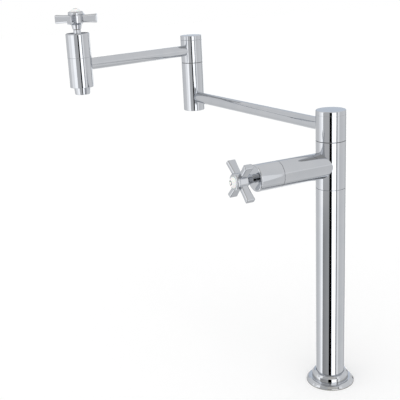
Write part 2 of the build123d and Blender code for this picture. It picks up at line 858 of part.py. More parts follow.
with BuildPart() as valve_tee:
    with BuildSketch(Plane.XZ) as section:
        with BuildLine():
            Polyline(
                (0, tee_seam_height - tee_spigot_length),
                (spigot_radius, tee_seam_height - tee_spigot_length),
                (spigot_radius, tee_seam_height),
                (post_radius, tee_seam_height),
                (post_radius, swivel_seam_height),
                (0, swivel_seam_height),
                close=True,
            )
        make_face()
        chamfer(corner(section, post_radius, tee_seam_height), seam_chamfer)
        chamfer(corner(section, post_radius, swivel_seam_height), seam_chamfer)
    revolve(axis=Axis.Z)
    spigot_end = tee_seam_height - tee_spigot_length
    add(bore(Plane.XY, tee_chamber_radius, spigot_end, inlet_chamber_top), mode=Mode.SUBTRACT)
    foot_bore = post_spindle_radius + foot_thread_step + thread_clearance
    add(bore(Plane.XY, foot_bore, outlet_chamber_floor, swivel_seam_height), mode=Mode.SUBTRACT)
    add(bore(front_seam, valve_inlet_radius, -valve_reach, 0), mode=Mode.SUBTRACT)
    add(return_passages(), mode=Mode.SUBTRACT)
    groove_start = tee_ring_height - ring_groove_width / 2
    add(
        ring(Plane.XY, tee_ring_groove, post_radius, groove_start, ring_groove_width),
        mode=Mode.SUBTRACT,
    )
keep("valve_tee", valve_tee.part)
keep(
    "tee_oring",
    o_rings(Plane.XY, tee_ring_groove, post_tube_bore - ring_squeeze, (tee_ring_height,), ring_section),
)

with BuildPart() as valve_branch:
    with BuildSketch(front_seam):
        Circle(valve_radius)
    extrude(amount=-valve_reach)
    chamfer(valve_branch.edges().filter_by(GeomType.CIRCLE).sort_by(Axis.Y)[0], seam_chamfer)
    with BuildSketch(front_seam):
        Circle(nose_radius)
    extrude(amount=nose_length)
    with BuildSketch(Plane.XY.offset(tee_seam_height)):
        Circle(post_radius + braze_gap)
    extrude(amount=tee_height, mode=Mode.SUBTRACT)
    add(cartridge_pocket(front_seam), mode=Mode.SUBTRACT)
    add(bore(front_seam, valve_inlet_radius, -valve_reach, -pocket_depth), mode=Mode.SUBTRACT)
    add(return_passages(), mode=Mode.SUBTRACT)
keep("valve_branch", valve_branch.part)

valve("front", front_seam, front_cross_angle)
swivel(
    "post", "post_swivel_housing", post_seam, post_radius, post_spindle_radius,
    lower_arm_rise, post_housing_height, post_cap_height,
)

# ---------------------------------------------------------------- lower arm and elbow
lower_arm_start = Vector(0, 0, lower_arm_height)
keep(
    "lower_arm_tube",
    arm_tube(lower_arm_start, toward(lower_arm_bearing), lower_arm_length, post_radius, elbow_radius),
)

elbow_bottom_height = lower_arm_height - elbow_drop
with BuildPart() as elbow_lower_housing:
    with BuildSketch(half_section(elbow_seam)) as section:
        with BuildLine():
            Polyline(
                (0, elbow_bottom_height - elbow_seam_height),
                (elbow_radius, elbow_bottom_height - elbow_seam_height),
                (elbow_radius, 0),
                (0, 0),
                close=True,
            )
        make_face()
        fillet(corner(section, elbow_radius, elbow_bottom_height - elbow_seam_height), elbow_end_round)
        chamfer(corner(section, elbow_radius, 0), seam_chamfer)
    revolve(axis=stack_axis(elbow_seam))
    add(bore(elbow_seam, spindle_waterway_radius, -elbow_rise, 0), mode=Mode.SUBTRACT)
    thread_bore_radius = elbow_spindle_radius + foot_thread_step + thread_clearance
    add(bore(elbow_seam, thread_bore_radius, -foot_thread_length, 0), mode=Mode.SUBTRACT)
    add(
        arm_socket(elbow_axis + lower_arm_start, -toward(lower_arm_bearing), elbow_radius, 0),
        mode=Mode.SUBTRACT,
    )
keep("elbow_lower_housing", elbow_lower_housing.part)

swivel(
    "elbow", "elbow_upper_housing", elbow_seam, elbow_radius, elbow_spindle_radius,
    upper_arm_rise, elbow_housing_height, elbow_cap_height,
)

# ---------------------------------------------------------------- upper arm and spout
upper_arm_start = elbow_axis + Vector(0, 0, upper_arm_height)
keep(
    "upper_arm_tube",
    arm_tube(upper_arm_start, toward(upper_arm_bearing), upper_arm_length, elbow_radius, valve_radius),
)

spout_bottom = spout_bottom_height - spout_seam_height
aerator_thread_floor = spout_bottom + aerator_thread_length + aerator_washer_thickness
with BuildPart() as spout_body:
    with BuildSketch(half_section(spout_seam)) as section:
        with BuildLine():
            Polyline(
                (0, spout_bottom),
                (valve_radius, spout_bottom),
                (valve_radius, 0),
                (nose_radius, 0),
                (nose_radius, nose_length),
                (0, nose_length),
                close=True,
            )
        make_face()
        fillet(corner(section, valve_radius, spout_bottom), spout_end_round)
        chamfer(corner(section, valve_radius, 0), seam_chamfer)
    revolve(axis=stack_axis(spout_seam))
    add(cartridge_pocket(spout_seam), mode=Mode.SUBTRACT)
    add(bore(spout_seam, valve_inlet_radius, aerator_thread_floor, -pocket_depth), mode=Mode.SUBTRACT)
    add(
        bore(spout_seam, aerator_thread_radius + thread_clearance, spout_bottom, aerator_thread_floor),
        mode=Mode.SUBTRACT,
    )
    arm_entry = spout_seam.offset(-spout_seam_rise).origin
    add(
        arm_socket(arm_entry, spout_seam.x_dir, valve_radius, pocket_radius / 2),
        mode=Mode.SUBTRACT,
    )
keep("spout_body", spout_body.part)

valve("spout", spout_seam, spout_cross_angle)

aerator_end = spout_bottom - aerator_length
aerator_top = spout_bottom + aerator_thread_length
with BuildPart() as aerator_housing:
    with BuildSketch(half_section(spout_seam)) as section:
        with BuildLine():
            Polyline(
                (aerator_lip_radius, aerator_end),
                (aerator_end_radius, aerator_end),
                (aerator_top_radius, spout_bottom),
                (aerator_thread_radius, spout_bottom),
                (aerator_thread_radius, aerator_top),
                (aerator_bore_radius, aerator_top),
                (aerator_bore_radius, aerator_end + aerator_lip_height),
                (aerator_lip_radius, aerator_end + aerator_lip_height),
                close=True,
            )
        make_face()
        fillet(corner(section, aerator_end_radius, aerator_end), aerator_round)
    revolve(axis=stack_axis(spout_seam))
keep("aerator_housing", aerator_housing.part)

insert_base = aerator_end + aerator_lip_height
insert_radius = aerator_bore_radius - insert_clearance
with BuildPart() as aerator_insert:
    with BuildSketch(spout_seam.offset(insert_base)):
        Circle(insert_radius)
    extrude(amount=insert_length)
    with BuildSketch(spout_seam.offset(insert_base + insert_plate)):
        Circle(insert_radius - insert_wall)
    extrude(amount=insert_length - insert_plate, mode=Mode.SUBTRACT)
    with BuildSketch(spout_seam.offset(insert_base)):
        for pitch_radius, hole_count in insert_hole_rings:
            with PolarLocations(pitch_radius, hole_count):
                Circle(insert_hole_radius)
    extrude(amount=insert_plate, mode=Mode.SUBTRACT)
keep("aerator_insert", aerator_insert.part)
keep(
    "aerator_washer",
    ring(spout_seam, aerator_washer_bore, aerator_thread_radius, aerator_top, aerator_washer_thickness),
)
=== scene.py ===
"""Looks of the deck-standing pot filler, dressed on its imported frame.

Plated pieces are polished chrome on brass: turned bodies are profiles carried round an axis, and the cross
handles are lofted blades on a turned hub. Buttons are glazed porcelain. Inner pieces keep the frame's own
solids and get the finish of machined brass, rubber, ceramic, steel or plastic.
The shape functions count in millimetres, and every mesh is written in metres in the frame of the part.
"""

import bpy
import numpy as np
from mathutils import Matrix


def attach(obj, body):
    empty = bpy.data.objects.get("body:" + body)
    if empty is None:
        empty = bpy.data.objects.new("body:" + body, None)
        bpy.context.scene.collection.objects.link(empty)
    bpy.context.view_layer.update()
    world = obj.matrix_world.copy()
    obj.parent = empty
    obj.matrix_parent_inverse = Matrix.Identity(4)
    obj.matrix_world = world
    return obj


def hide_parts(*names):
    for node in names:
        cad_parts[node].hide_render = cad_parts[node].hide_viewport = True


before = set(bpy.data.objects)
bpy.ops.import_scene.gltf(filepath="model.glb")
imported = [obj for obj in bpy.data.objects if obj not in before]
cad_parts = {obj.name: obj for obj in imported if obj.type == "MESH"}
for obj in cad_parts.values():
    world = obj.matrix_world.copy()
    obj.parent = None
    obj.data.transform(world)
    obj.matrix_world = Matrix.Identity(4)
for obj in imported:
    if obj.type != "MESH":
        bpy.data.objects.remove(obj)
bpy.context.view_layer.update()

MM = 0.001
ROUND_STEPS = 160  # facets round a turned body
SMALL_STEPS = 96  # facets round a slim turned body
ARC_STEP = np.radians(9)  # widest facet along a rounded edge
TINY = 1e-9  # a point nearer than this to an axis lies on it

# ---------------------------------------------------------------- sizes, as in the part's source
# Millimetres and degrees. Heights count from the deck, unless a comment says otherwise.
FIT_GAP = 0.05  # between pieces that are soldered or screwed together
RUNNING_GAP = 0.06  # between a spindle or stem and its bore
BUTTON_GAP = 0.1  # round a button in its cap
HOLLOW_GAP = 0.2  # between the foot and the flange's hollow
POST_RADIUS = 17.5
POST_BORE = 16.0
POST_FIT = POST_BORE - FIT_GAP  # of what stands in the post's bore
BARREL_RADIUS = 15.4
ARM_RADIUS = 7.5
ARM_BORE = 6.3
SOCKET_DEPTH = 5.0  # of the arm tubes' sockets
FLANGE_RADIUS = 29.5
FLANGE_HEIGHT = 4.6
HOLLOW_HEIGHT = 8.4  # of the hollow under the flange
COLLAR_RADIUS = 22.3
COLLAR_HEIGHT = 14.2
GASKET_RADIUS = 27.45
GASKET_HEIGHT = 1.5
FOOT_RADIUS = 20.0
FOOT_HEIGHT = 6.0
FOOT_TOP = 30.0
FOOT_BORE = 7.0
INLET_RADIUS = 9.3
INLET_DEPTH = 15.0
TEE_SEAM = 254.2
TEE_BOTTOM = 238.2
TEE_BORE = 13.0
TEE_CEILING = 287.8
TEE_GROOVE_RADIUS = 14.17  # floor of the groove for the tee's O-ring
TEE_GROOVE_LOW = 245.1
TEE_GROOVE_HIGH = 247.3
SWIVEL_SEAM = 310.3
POST_SPINDLE_RADIUS = 9.0
POST_SPINDLE_SEAT = 10.25  # thread bore that a spindle's foot screws into
POST_SPINDLE_FLOOR = 290.2
ELBOW_SPINDLE_RADIUS = 8.0
ELBOW_SPINDLE_SEAT = 9.25
ELBOW_SPINDLE_FLOOR = -12.0  # below the elbow's seam
POST_BARREL_TOP = 30.5  # above the post's swivel seam
POST_LID_HEIGHT = 5.1
POST_LID_ROUND = 0.12  # edges that meet between the barrel and its lid
ELBOW_BARREL_TOP = 32.5  # above the elbow's seam
ELBOW_LID_HEIGHT = 6.1
ELBOW_LID_ROUND = 0.4
WELL_WALL = 4.2  # wall round the well for a spindle's retaining ring
WELL_DEPTH = 5.2
LID_SPIGOT_WALL = 1.4
LID_SPIGOT_LENGTH = 3.0
LID_RECESS = 1.0  # hollow of a lid above its barrel's top
LID_TOP_ROUND = 0.7
LOWER_ARM_HEIGHT = 326.6
LOWER_ARM_LENGTH = 304.8
LOWER_ARM_BEARING = 183.65
UPPER_ARM_LENGTH = 190.5
UPPER_ARM_BEARING = 283.4
ELBOW_SEAM = LOWER_ARM_HEIGHT + 49.8
ELBOW_BOTTOM = -69.3  # below the elbow's seam
UPPER_ARM_HEIGHT = ELBOW_SEAM + 17.5
SPOUT_SEAM = UPPER_ARM_HEIGHT + 10.3
VALVE_HEIGHT = 281.9
VALVE_REACH = 74.0
WATERWAY_RADIUS = 5.0
# Places on the valves, the handles and the aerator count along a valve's axis, from its sleeve's seam.
SLEEVE_LENGTH = 30.6
SLEEVE_CEILING = 26.6
NOSE_RADIUS = 12.0  # of the nose that a sleeve screws onto
NOSE_LENGTH = 9.0
POCKET_RADIUS = 9.5  # of the pocket for a valve's cartridge
POCKET_DEPTH = 24.0
STEM_RADIUS = 3.9
STEM_BORE = STEM_RADIUS + RUNNING_GAP
STEM_COLLAR_RADIUS = 4.85
STEM_COLLAR_FOOT_RADIUS = 6.4
STEM_COLLAR_FOOT = 25.2
STEM_COLLAR_TOP = 35.2
SPOUT_BOTTOM = -38.3
AERATOR_END = -47.7
AERATOR_END_RADIUS = 9.8
AERATOR_TOP_RADIUS = 10.6
AERATOR_THREAD_RADIUS = 8.9
AERATOR_BORE = 8.1
AERATOR_MOUTH = 7.4
AERATOR_LIP = 1.5
AERATOR_WASHER = 1.5
THREAD_FLOOR = -32.2
FRONT_CROSS_ANGLE = 48.0
SPOUT_CROSS_ANGLE = 39.0
NECK_BASE = 35.5
NECK_BASE_RADIUS = 5.5
NECK_TOP = 41.0
NECK_TOP_RADIUS = 6.8
HUB_RADIUS = 9.3
HUB_BASE = 43.6
HUB_TOP = 53.5
BROACH_RADIUS = 3.85
BROACH_TOP = 47.1
SCREW_RADIUS = 2.05
SCREW_SEAT = 50.1
CAP_SOCKET = 5.6
CAP_SPIGOT_WALL = 1.3
CAP_SPIGOT_LENGTH = 2.8
BLADE_COUNT = 4
BLADE_MIDDLE = 48.5
BLADE_ROOT = 2.0
BLADE_REACH = 27.6
BLADE_TIP_ROUND = 1.2
BLADE_CORNER_ROUND = 1.9
# Places along a blade, counted from the axis, each with the blade's width and depth there.
BLADE_SECTIONS = ((0.0, 6.4, 9.6), (13.6, 6.2, 9.6), (20.0, 6.2, 10.1), (BLADE_REACH, 6.3, 11.1))
CAP_RADIUS = 9.8
CAP_FLOOR = 54.9
CAP_TOP = 57.6
BUTTON_RADIUS = 6.8
BUTTON_DOME = 4.0
DOME_SPHERE = (BUTTON_RADIUS**2 + BUTTON_DOME**2) / (2 * BUTTON_DOME)
MARK_INNER = 2.0
MARK_OUTER = 2.8
MARK_DEPTH = 0.4
SEAM_ROUND = 0.3  # edges that meet at a seam
SEAM_LINE = 0.3  # shadow line where two fixed pieces meet
SEAM_LINE_ROUND = 0.15
SEAM_DEPTH = 1.0
SEAM_WASHER = 0.55  # slip washer that shows in a turning seam
# Nose and pocket that a valve's cartridge seats in, from the sleeve's seam.
CARTRIDGE_SEAT = (
    (NOSE_RADIUS, 0),
    (NOSE_RADIUS, NOSE_LENGTH, 0.4),
    (POCKET_RADIUS, NOSE_LENGTH),
    (POCKET_RADIUS, -POCKET_DEPTH),
    (WATERWAY_RADIUS, -POCKET_DEPTH),
)


# ---------------------------------------------------------------- places
def toward(bearing):
    """Level direction at a bearing in degrees, counted from +X towards +Y."""
    angle = np.radians(bearing)
    return np.array((np.cos(angle), np.sin(angle), 0.0))


def seam(origin, along, facing):
    """Frame of a turned stack: its origin, and three axes as rows, X the way it faces and Z its own axis."""
    z = np.array(along, float)
    x = np.array(facing, float)
    return np.array(origin, float), np.stack((x, np.cross(z, x), z))


UP = (0, 0, 1)
ELBOW_AXIS = toward(LOWER_ARM_BEARING) * LOWER_ARM_LENGTH
SPOUT_AXIS = ELBOW_AXIS + toward(UPPER_ARM_BEARING) * UPPER_ARM_LENGTH
DECK = seam((0, 0, 0), UP, (1, 0, 0))
POST_SWIVEL = seam((0, 0, SWIVEL_SEAM), UP, toward(LOWER_ARM_BEARING))
FRONT_VALVE = seam((0, -VALVE_REACH, VALVE_HEIGHT), (0, -1, 0), (1, 0, 0))
ELBOW_SWIVEL = seam(ELBOW_AXIS + (0, 0, ELBOW_SEAM), UP, toward(UPPER_ARM_BEARING))
SPOUT_VALVE = seam(SPOUT_AXIS + (0, 0, SPOUT_SEAM), UP, -toward(UPPER_ARM_BEARING))
LOWER_ARM = seam((0, 0, LOWER_ARM_HEIGHT), toward(LOWER_ARM_BEARING), UP)
UPPER_ARM = seam(ELBOW_AXIS + (0, 0, UPPER_ARM_HEIGHT), toward(UPPER_ARM_BEARING), UP)


# ---------------------------------------------------------------- meshes
def write_mesh(name, points, faces, normals):
    """Object with these points in millimetres; faces are index arrays, and normals have one row a corner."""
    mesh = bpy.data.meshes.new(name)
    corners = np.concatenate([face.ravel() for face in faces])
    sizes = np.concatenate([np.full(len(face), face.shape[1]) for face in faces])
    mesh.vertices.add(len(points))
    mesh.vertices.foreach_set("co", (points * MM).astype(np.float32).ravel())
    mesh.loops.add(len(corners))
    mesh.loops.foreach_set("vertex_index", corners.astype(np.int32))
    mesh.polygons.add(len(sizes))
    mesh.polygons.foreach_set("loop_start", (np.cumsum(sizes) - sizes).astype(np.int32))
    mesh.polygons.foreach_set("use_smooth", np.ones(len(sizes), bool))
    mesh.update(calc_edges=True)
    mesh.validate()
    mesh.normals_split_custom_set(np.concatenate(normals))
    piece = bpy.data.objects.new(name, mesh)
    bpy.context.scene.collection.objects.link(piece)
    return piece


def outline(corners):
    """Runs of a closed profile, each with its two ends and their normals.

    A corner is (radius, height) or (radius, height, rounding), in order with the solid on the left. A rounded
    corner is an arc tangent to both its runs, and its normal turns evenly from one run's to the other's.
    """
    places = np.array([corner[:2] for corner in corners], float)
    roundings = np.array([corner[2] if len(corner) > 2 else 0.0 for corner in corners])
    ways = np.roll(places, -1, axis=0) - places
    ways /= np.linalg.norm(ways, axis=1)[:, None]
    arcs = []
    for place, rounding, way_in, way_out in zip(places, roundings, np.roll(ways, 1, axis=0), ways):
        turn = np.arctan2(way_in[0] * way_out[1] - way_in[1] * way_out[0], way_in @ way_out)
        normal_in = np.array((way_in[1], -way_in[0]))
        normal_out = np.array((way_out[1], -way_out[0]))
        if rounding == 0:
            arcs.append((np.array((place, place)), np.array((normal_in, normal_out)), False))
            continue
        steps = max(2, int(np.ceil(abs(turn) / ARC_STEP)))
        angles = np.linspace(0, turn, steps + 1)
        normals = np.stack(
            (
                normal_in[0] * np.cos(angles) - normal_in[1] * np.sin(angles),
                normal_in[0] * np.sin(angles) + normal_in[1] * np.cos(angles),
            ),
            axis=1,
        )
        start = place - way_in * rounding * np.tan(abs(turn) / 2)
        centre = start - np.sign(turn) * rounding * normal_in
        arcs.append((centre + np.sign(turn) * rounding * normals, normals, True))
    runs = []
    for number, (points, normals, is_arc) in enumerate(arcs):
        if is_arc:
            runs += list(zip(points[:-1], normals[:-1], points[1:], normals[1:]))
        next_points, next_normals, _ = arcs[(number + 1) % len(arcs)]
        runs.append((points[-1], normals[-1], next_points[0], next_normals[0]))
    return runs


def dome(sphere_radius, centre_height, start, end):
    """Runs of an arc round a point on the axis, from one angle off the axis to another."""
    angles = np.linspace(start, end, max(3, int(np.ceil(abs(end - start) / (ARC_STEP / 2)))) + 1)
    normals = np.stack((np.sin(angles), np.cos(angles)), axis=1)
    points = normals * sphere_radius + (0, centre_height)
    return list(zip(points[:-1], normals[:-1], points[1:], normals[1:]))


def straight(*places):
    """Straight runs through places, each (radius, height), with the solid on the left."""
    points = np.array(places, float)
    ways = points[1:] - points[:-1]
    ways /= np.linalg.norm(ways, axis=1)[:, None]
    normals = np.stack((ways[:, 1], -ways[:, 0]), axis=1)
    return list(zip(points[:-1], normals, points[1:], normals))


def turn_arrays(runs, steps=ROUND_STEPS):
    """Points, faces and normals of a turned body in its stack's own frame.

    A profile point (radius, height) at angle a goes to (radius cos a, radius sin a, height). A point on the
    axis is one vertex, and the faces next to it are triangles.
    """
    ends = np.array([(run[0], run[2]) for run in runs])
    end_normals = np.array([(run[1], run[3]) for run in runs])
    on_axis = ends[:, :, 0] < TINY
    kept = ~on_axis.all(axis=1)
    ends, end_normals, on_axis = ends[kept], end_normals[kept], on_axis[kept]
    flat, where = np.unique(ends.reshape(-1, 2).round(6), axis=0, return_inverse=True)
    where = where.reshape(-1, 2)
    counts = np.where(flat[:, 0] < TINY, 1, steps)
    first = np.cumsum(counts) - counts
    angles = np.arange(steps) * 2 * np.pi / steps
    ring = np.stack((np.cos(angles), np.sin(angles)), axis=1)
    rings = flat[:, 0, None, None] * ring[None]
    heights = np.broadcast_to(flat[:, 1, None, None], (len(flat), steps, 1))
    points = np.concatenate((rings, heights), axis=2)
    points = points[np.arange(steps)[None] < counts[:, None]]
    here = np.arange(steps)
    after = (here + 1) % steps

    def corner(run_numbers, end, turn):
        """Vertex numbers and normals of one corner of each run's faces."""
        vertex = first[where[run_numbers, end]][:, None]
        vertex = vertex + np.where(on_axis[run_numbers, end][:, None], 0, turn[None])
        level = end_normals[run_numbers, end]
        outward = level[:, 0, None, None] * ring[turn][None]
        upward = np.broadcast_to(level[:, 1, None, None], (len(level), steps, 1))
        return vertex, np.concatenate((outward, upward), axis=2)

    faces, normals = [], []
    kinds = (
        (~on_axis.any(axis=1), ((0, here), (0, after), (1, after), (1, here))),
        (on_axis[:, 0] & ~on_axis[:, 1], ((0, here), (1, after), (1, here))),
        (on_axis[:, 1] & ~on_axis[:, 0], ((0, here), (0, after), (1, here))),
    )
    for chosen, shape in kinds:
        numbers = np.flatnonzero(chosen)
        if len(numbers) == 0:
            continue
        found = [corner(numbers, end, turn) for end, turn in shape]
        faces.append(np.stack([vertex for vertex, _ in found], axis=2).reshape(-1, len(shape)))
        normals.append(np.stack([normal for _, normal in found], axis=2).reshape(-1, 3))
    return points, faces, normals


def placed_mesh(name, place, points, faces, normals):
    """Object whose points and normals are moved from their stack's own frame to the part's."""
    origin, axes = place
    return write_mesh(name, origin + points @ axes, faces, [normal @ axes for normal in normals])


def turned_piece(name, place, runs, steps=ROUND_STEPS):
    """Turned body as an object: the profile's runs carried round the stack's axis."""
    return placed_mesh(name, place, *turn_arrays(runs, steps))


# ---------------------------------------------------------------- profiles
def barrel_lid(outer, top, height, seam_round):
    """Flat round cap with its hollow spigot: seam edge below, small rounded edge on top."""
    spigot = outer - WELL_WALL - FIT_GAP
    hollow = spigot - LID_SPIGOT_WALL
    roof, foot = top + LID_RECESS, top - LID_SPIGOT_LENGTH
    return outline(
        [
            (0, roof),
            (hollow, roof),
            (hollow, foot),
            (spigot, foot),
            (spigot, top),
            (outer, top, seam_round),
            (outer, top + height, LID_TOP_ROUND),
            (0, top + height),
        ]
    )


def swivel_barrel(outer, spindle, top, seam_round):
    """Turning housing: bored for its spindle, with a well for the retaining ring."""
    bore = spindle + RUNNING_GAP
    well = outer - WELL_WALL
    well_floor = top - WELL_DEPTH
    return outline(
        [
            (bore, SEAM_WASHER),
            (outer, SEAM_WASHER, SEAM_ROUND),
            (outer, top, seam_round),
            (well, top),
            (well, well_floor),
            (bore, well_floor),
        ]
    )


def saddle_branch():
    """Side branch: turned, but its inner end is a saddle on the post.

    The saddle's height at a point is the post's circle, sqrt(R^2 - x^2), less the reach, where x is the
    point's distance from the plane of the two axes.
    """
    saddle_radii = np.linspace(WATERWAY_RADIUS, BARREL_RADIUS, 9)
    saddle_runs = straight(*[(radius, -VALVE_REACH) for radius in saddle_radii])
    wall = outline(
        [
            (WATERWAY_RADIUS, -VALVE_REACH),
            (BARREL_RADIUS, -VALVE_REACH),
            (BARREL_RADIUS, -SEAM_LINE, SEAM_LINE_ROUND),
            (BARREL_RADIUS - SEAM_DEPTH, -SEAM_LINE),
            (BARREL_RADIUS - SEAM_DEPTH, 0),
            *CARTRIDGE_SEAT,
        ]
    )
    points, faces, normals = turn_arrays(saddle_runs + wall[1:])
    at_post = np.isclose(points[:, 2], -VALVE_REACH)
    across = points[at_post, 0]
    points[at_post, 2] = np.sqrt((POST_RADIUS + FIT_GAP) ** 2 - across**2) - VALVE_REACH
    return placed_mesh("branch", FRONT_VALVE, points, faces, normals)


def blade_arrays(angle):
    """Points, faces and normals of one blade in its stack's frame, at an angle about the axis.

    Each section is a rounded rectangle across the blade. Its width and depth follow a smooth curve of the
    reach: even from the hub to the middle, and deeper towards the end. At the tip the section shrinks by a
    quarter circle, and the end face closes in rings on its middle.
    """
    tip = BLADE_TIP_ROUND
    waist = 14.0  # the sections stand a little further apart beyond it
    body = np.concatenate(
        (np.linspace(BLADE_ROOT, waist, 26), np.linspace(waist, BLADE_REACH - tip, 20)[1:])
    )
    tip_angles = np.linspace(0, np.pi / 2, 9)[1:]
    reaches = np.concatenate((body, BLADE_REACH - tip + tip * np.sin(tip_angles)))
    insets = np.concatenate((np.zeros(len(body)), tip * (1 - np.cos(tip_angles))))
    knots, knot_widths, knot_depths = np.array(BLADE_SECTIONS).T
    widths = smooth_through(reaches, knots, knot_widths)
    depths = smooth_through(reaches, knots, knot_depths)
    shrink = (0.75, 0.45, 0.15)
    reaches = np.concatenate((reaches, np.full(len(shrink), BLADE_REACH)))
    half_width = np.concatenate((widths / 2 - insets, (widths[-1] / 2 - tip) * np.array(shrink)))
    half_depth = np.concatenate((depths / 2 - insets, (depths[-1] / 2 - tip) * np.array(shrink)))
    corner_round = np.concatenate((BLADE_CORNER_ROUND - insets, np.full(len(shrink), 0.05)))
    turns = np.linspace(0, np.pi / 2, 8)
    arc = (turns[None] + np.arange(4)[:, None] * np.pi / 2).ravel()
    sides = len(arc)
    centre_across = np.repeat((1, -1, -1, 1), len(turns)) * (half_width - corner_round)[:, None]
    centre_deep = np.repeat((1, 1, -1, -1), len(turns)) * (half_depth - corner_round)[:, None]
    across = centre_across + corner_round[:, None] * np.cos(arc)
    deep = centre_deep + corner_round[:, None] * np.sin(arc)
    along = np.broadcast_to(reaches[:, None], across.shape)
    height = BLADE_MIDDLE + deep
    upward = np.array(UP)
    outward = toward(angle)
    sideways = toward(angle + 90)
    grid = along[..., None] * outward + across[..., None] * sideways + height[..., None] * upward
    points = np.concatenate((grid.reshape(-1, 3), grid[[0, -1]].mean(axis=1)))
    rows = len(reaches)
    here = np.arange(sides)
    after = (here + 1) % sides
    row = np.arange(rows - 1)[:, None] * sides
    quads = np.stack(
        (row + here, row + after, row + sides + after, row + sides + here), axis=2
    ).reshape(-1, 4)
    root, end = rows * sides, rows * sides + 1
    fans = np.concatenate(
        (
            np.stack((after, here, np.full(sides, root)), axis=1),
            np.stack(((rows - 1) * sides + here, (rows - 1) * sides + after, np.full(sides, end)), axis=1),
        )
    )
    lengthwise = np.gradient(grid, axis=0)
    crosswise = np.roll(grid, -1, axis=1) - np.roll(grid, 1, axis=1)
    face_normal = np.cross(crosswise, lengthwise)
    face_normal /= np.maximum(np.linalg.norm(face_normal, axis=2, keepdims=True), 1e-12)
    level = np.cos(arc)[:, None] * sideways + np.sin(arc)[:, None] * upward
    flare = face_normal @ outward
    smooth = level[None] * np.sqrt(1 - np.clip(flare, -1, 1) ** 2)[..., None] + flare[..., None] * outward
    tip_rows = slice(len(body), len(body) + len(tip_angles))
    lift = tip_angles[:, None, None]
    smooth[tip_rows] = np.cos(lift) * level[None] + np.sin(lift) * outward
    smooth[tip_rows.stop:] = outward
    flat = np.concatenate((smooth.reshape(-1, 3), (-outward, outward)))
    fan_normals = flat[fans]
    fan_normals[:sides] = -outward
    return points, [quads, fans], [flat[quads].reshape(-1, 3), fan_normals.reshape(-1, 3)]


def smooth_through(places, knots, values):
    """Smooth curve through values at knots: a cubic between each pair, with slopes from their neighbours."""
    slopes = np.gradient(values, knots)
    index = np.clip(np.searchsorted(knots, places, side="right") - 1, 0, len(knots) - 2)
    span = knots[index + 1] - knots[index]
    t = (places - knots[index]) / span
    return (
        (2 * t**3 - 3 * t**2 + 1) * values[index]
        + (t**3 - 2 * t**2 + t) * span * slopes[index]
        + (3 * t**2 - 2 * t**3) * values[index + 1]
        + (t**3 - t**2) * span * slopes[index + 1]
    )


def cross_handle(name, place, cross_angle):
    """Cross handle: a turned neck and hub with four lofted blades, as closed shells of one piece."""
    hub = outline(
        [
            (BROACH_RADIUS, NECK_BASE),
            (NECK_BASE_RADIUS, NECK_BASE, 0.3),
            (NECK_TOP_RADIUS, NECK_TOP, 1.2),
            (HUB_RADIUS, HUB_BASE, 1.6),
            (HUB_RADIUS, HUB_TOP, 0.4),
            (CAP_SOCKET, HUB_TOP),
            (CAP_SOCKET, SCREW_SEAT),
            (SCREW_RADIUS, SCREW_SEAT),
            (SCREW_RADIUS, BROACH_TOP),
            (BROACH_RADIUS, BROACH_TOP),
        ]
    )
    points, faces, normals = turn_arrays(hub, SMALL_STEPS)
    all_points, all_faces, all_normals = [points], [*faces], [*normals]
    count = len(points)
    for number in range(BLADE_COUNT):
        points, faces, normals = blade_arrays(cross_angle + 360 / BLADE_COUNT * number)
        all_points.append(points)
        all_faces += [face + count for face in faces]
        all_normals += normals
        count += len(points)
    return placed_mesh(name, place, np.concatenate(all_points), all_faces, all_normals)


DOME_CENTRE = CAP_TOP + BUTTON_DOME - DOME_SPHERE
DOME_EDGE, OUTER_ANGLE, INNER_ANGLE = np.arcsin(
    np.array((BUTTON_RADIUS, MARK_OUTER, MARK_INNER)) / DOME_SPHERE
)
OUTER_TOP, INNER_TOP = DOME_CENTRE + DOME_SPHERE * np.cos((OUTER_ANGLE, INNER_ANGLE))
GROOVE = (
    (MARK_OUTER, OUTER_TOP),
    (MARK_OUTER, OUTER_TOP - MARK_DEPTH),
    (MARK_INNER, INNER_TOP - MARK_DEPTH),
    (MARK_INNER, INNER_TOP),
)


def button_profile():
    """Domed button with a groove for its ring."""
    runs = straight((0, CAP_FLOOR), (BUTTON_RADIUS, CAP_FLOOR), (BUTTON_RADIUS, CAP_TOP))
    runs += dome(DOME_SPHERE, DOME_CENTRE, DOME_EDGE, OUTER_ANGLE)
    return runs + straight(*GROOVE) + dome(DOME_SPHERE, DOME_CENTRE, INNER_ANGLE, 0)


def mark_profile():
    """Ring of glaze that fills the groove, flush with the dome."""
    return straight(*GROOVE[::-1]) + dome(DOME_SPHERE, DOME_CENTRE, OUTER_ANGLE, INNER_ANGLE)


# ---------------------------------------------------------------- materials
def linear(code):
    """Linear colour of an sRGB hex code."""
    srgb = np.array([int(code[start:start + 2], 16) / 255 for start in (1, 3, 5)])
    low, high = srgb / 12.92, ((srgb + 0.055) / 1.055) ** 2.4
    return (*np.where(srgb <= 0.04045, low, high), 1.0)


def add_node(tree, kind, settings=(), links=()):
    """Node with its settings, {socket or property: value}, and its links, {socket: source}."""
    made = tree.nodes.new(kind)
    for key, value in dict(settings).items():
        if isinstance(key, str) and hasattr(made, key):
            setattr(made, key, value)
        else:
            made.inputs[key].default_value = value
    for key, source in dict(links).items():
        tree.links.new(source, made.inputs[key])
    return made


def surface(name, settings):
    """Material with one Principled shader; returns the material, its tree and the shader."""
    material = bpy.data.materials.new(name)
    material.use_nodes = True
    tree = material.node_tree
    tree.nodes.clear()
    shader = add_node(tree, "ShaderNodeBsdfPrincipled", settings)
    add_node(tree, "ShaderNodeOutputMaterial", links={"Surface": shader.outputs[0]})
    return material, tree, shader


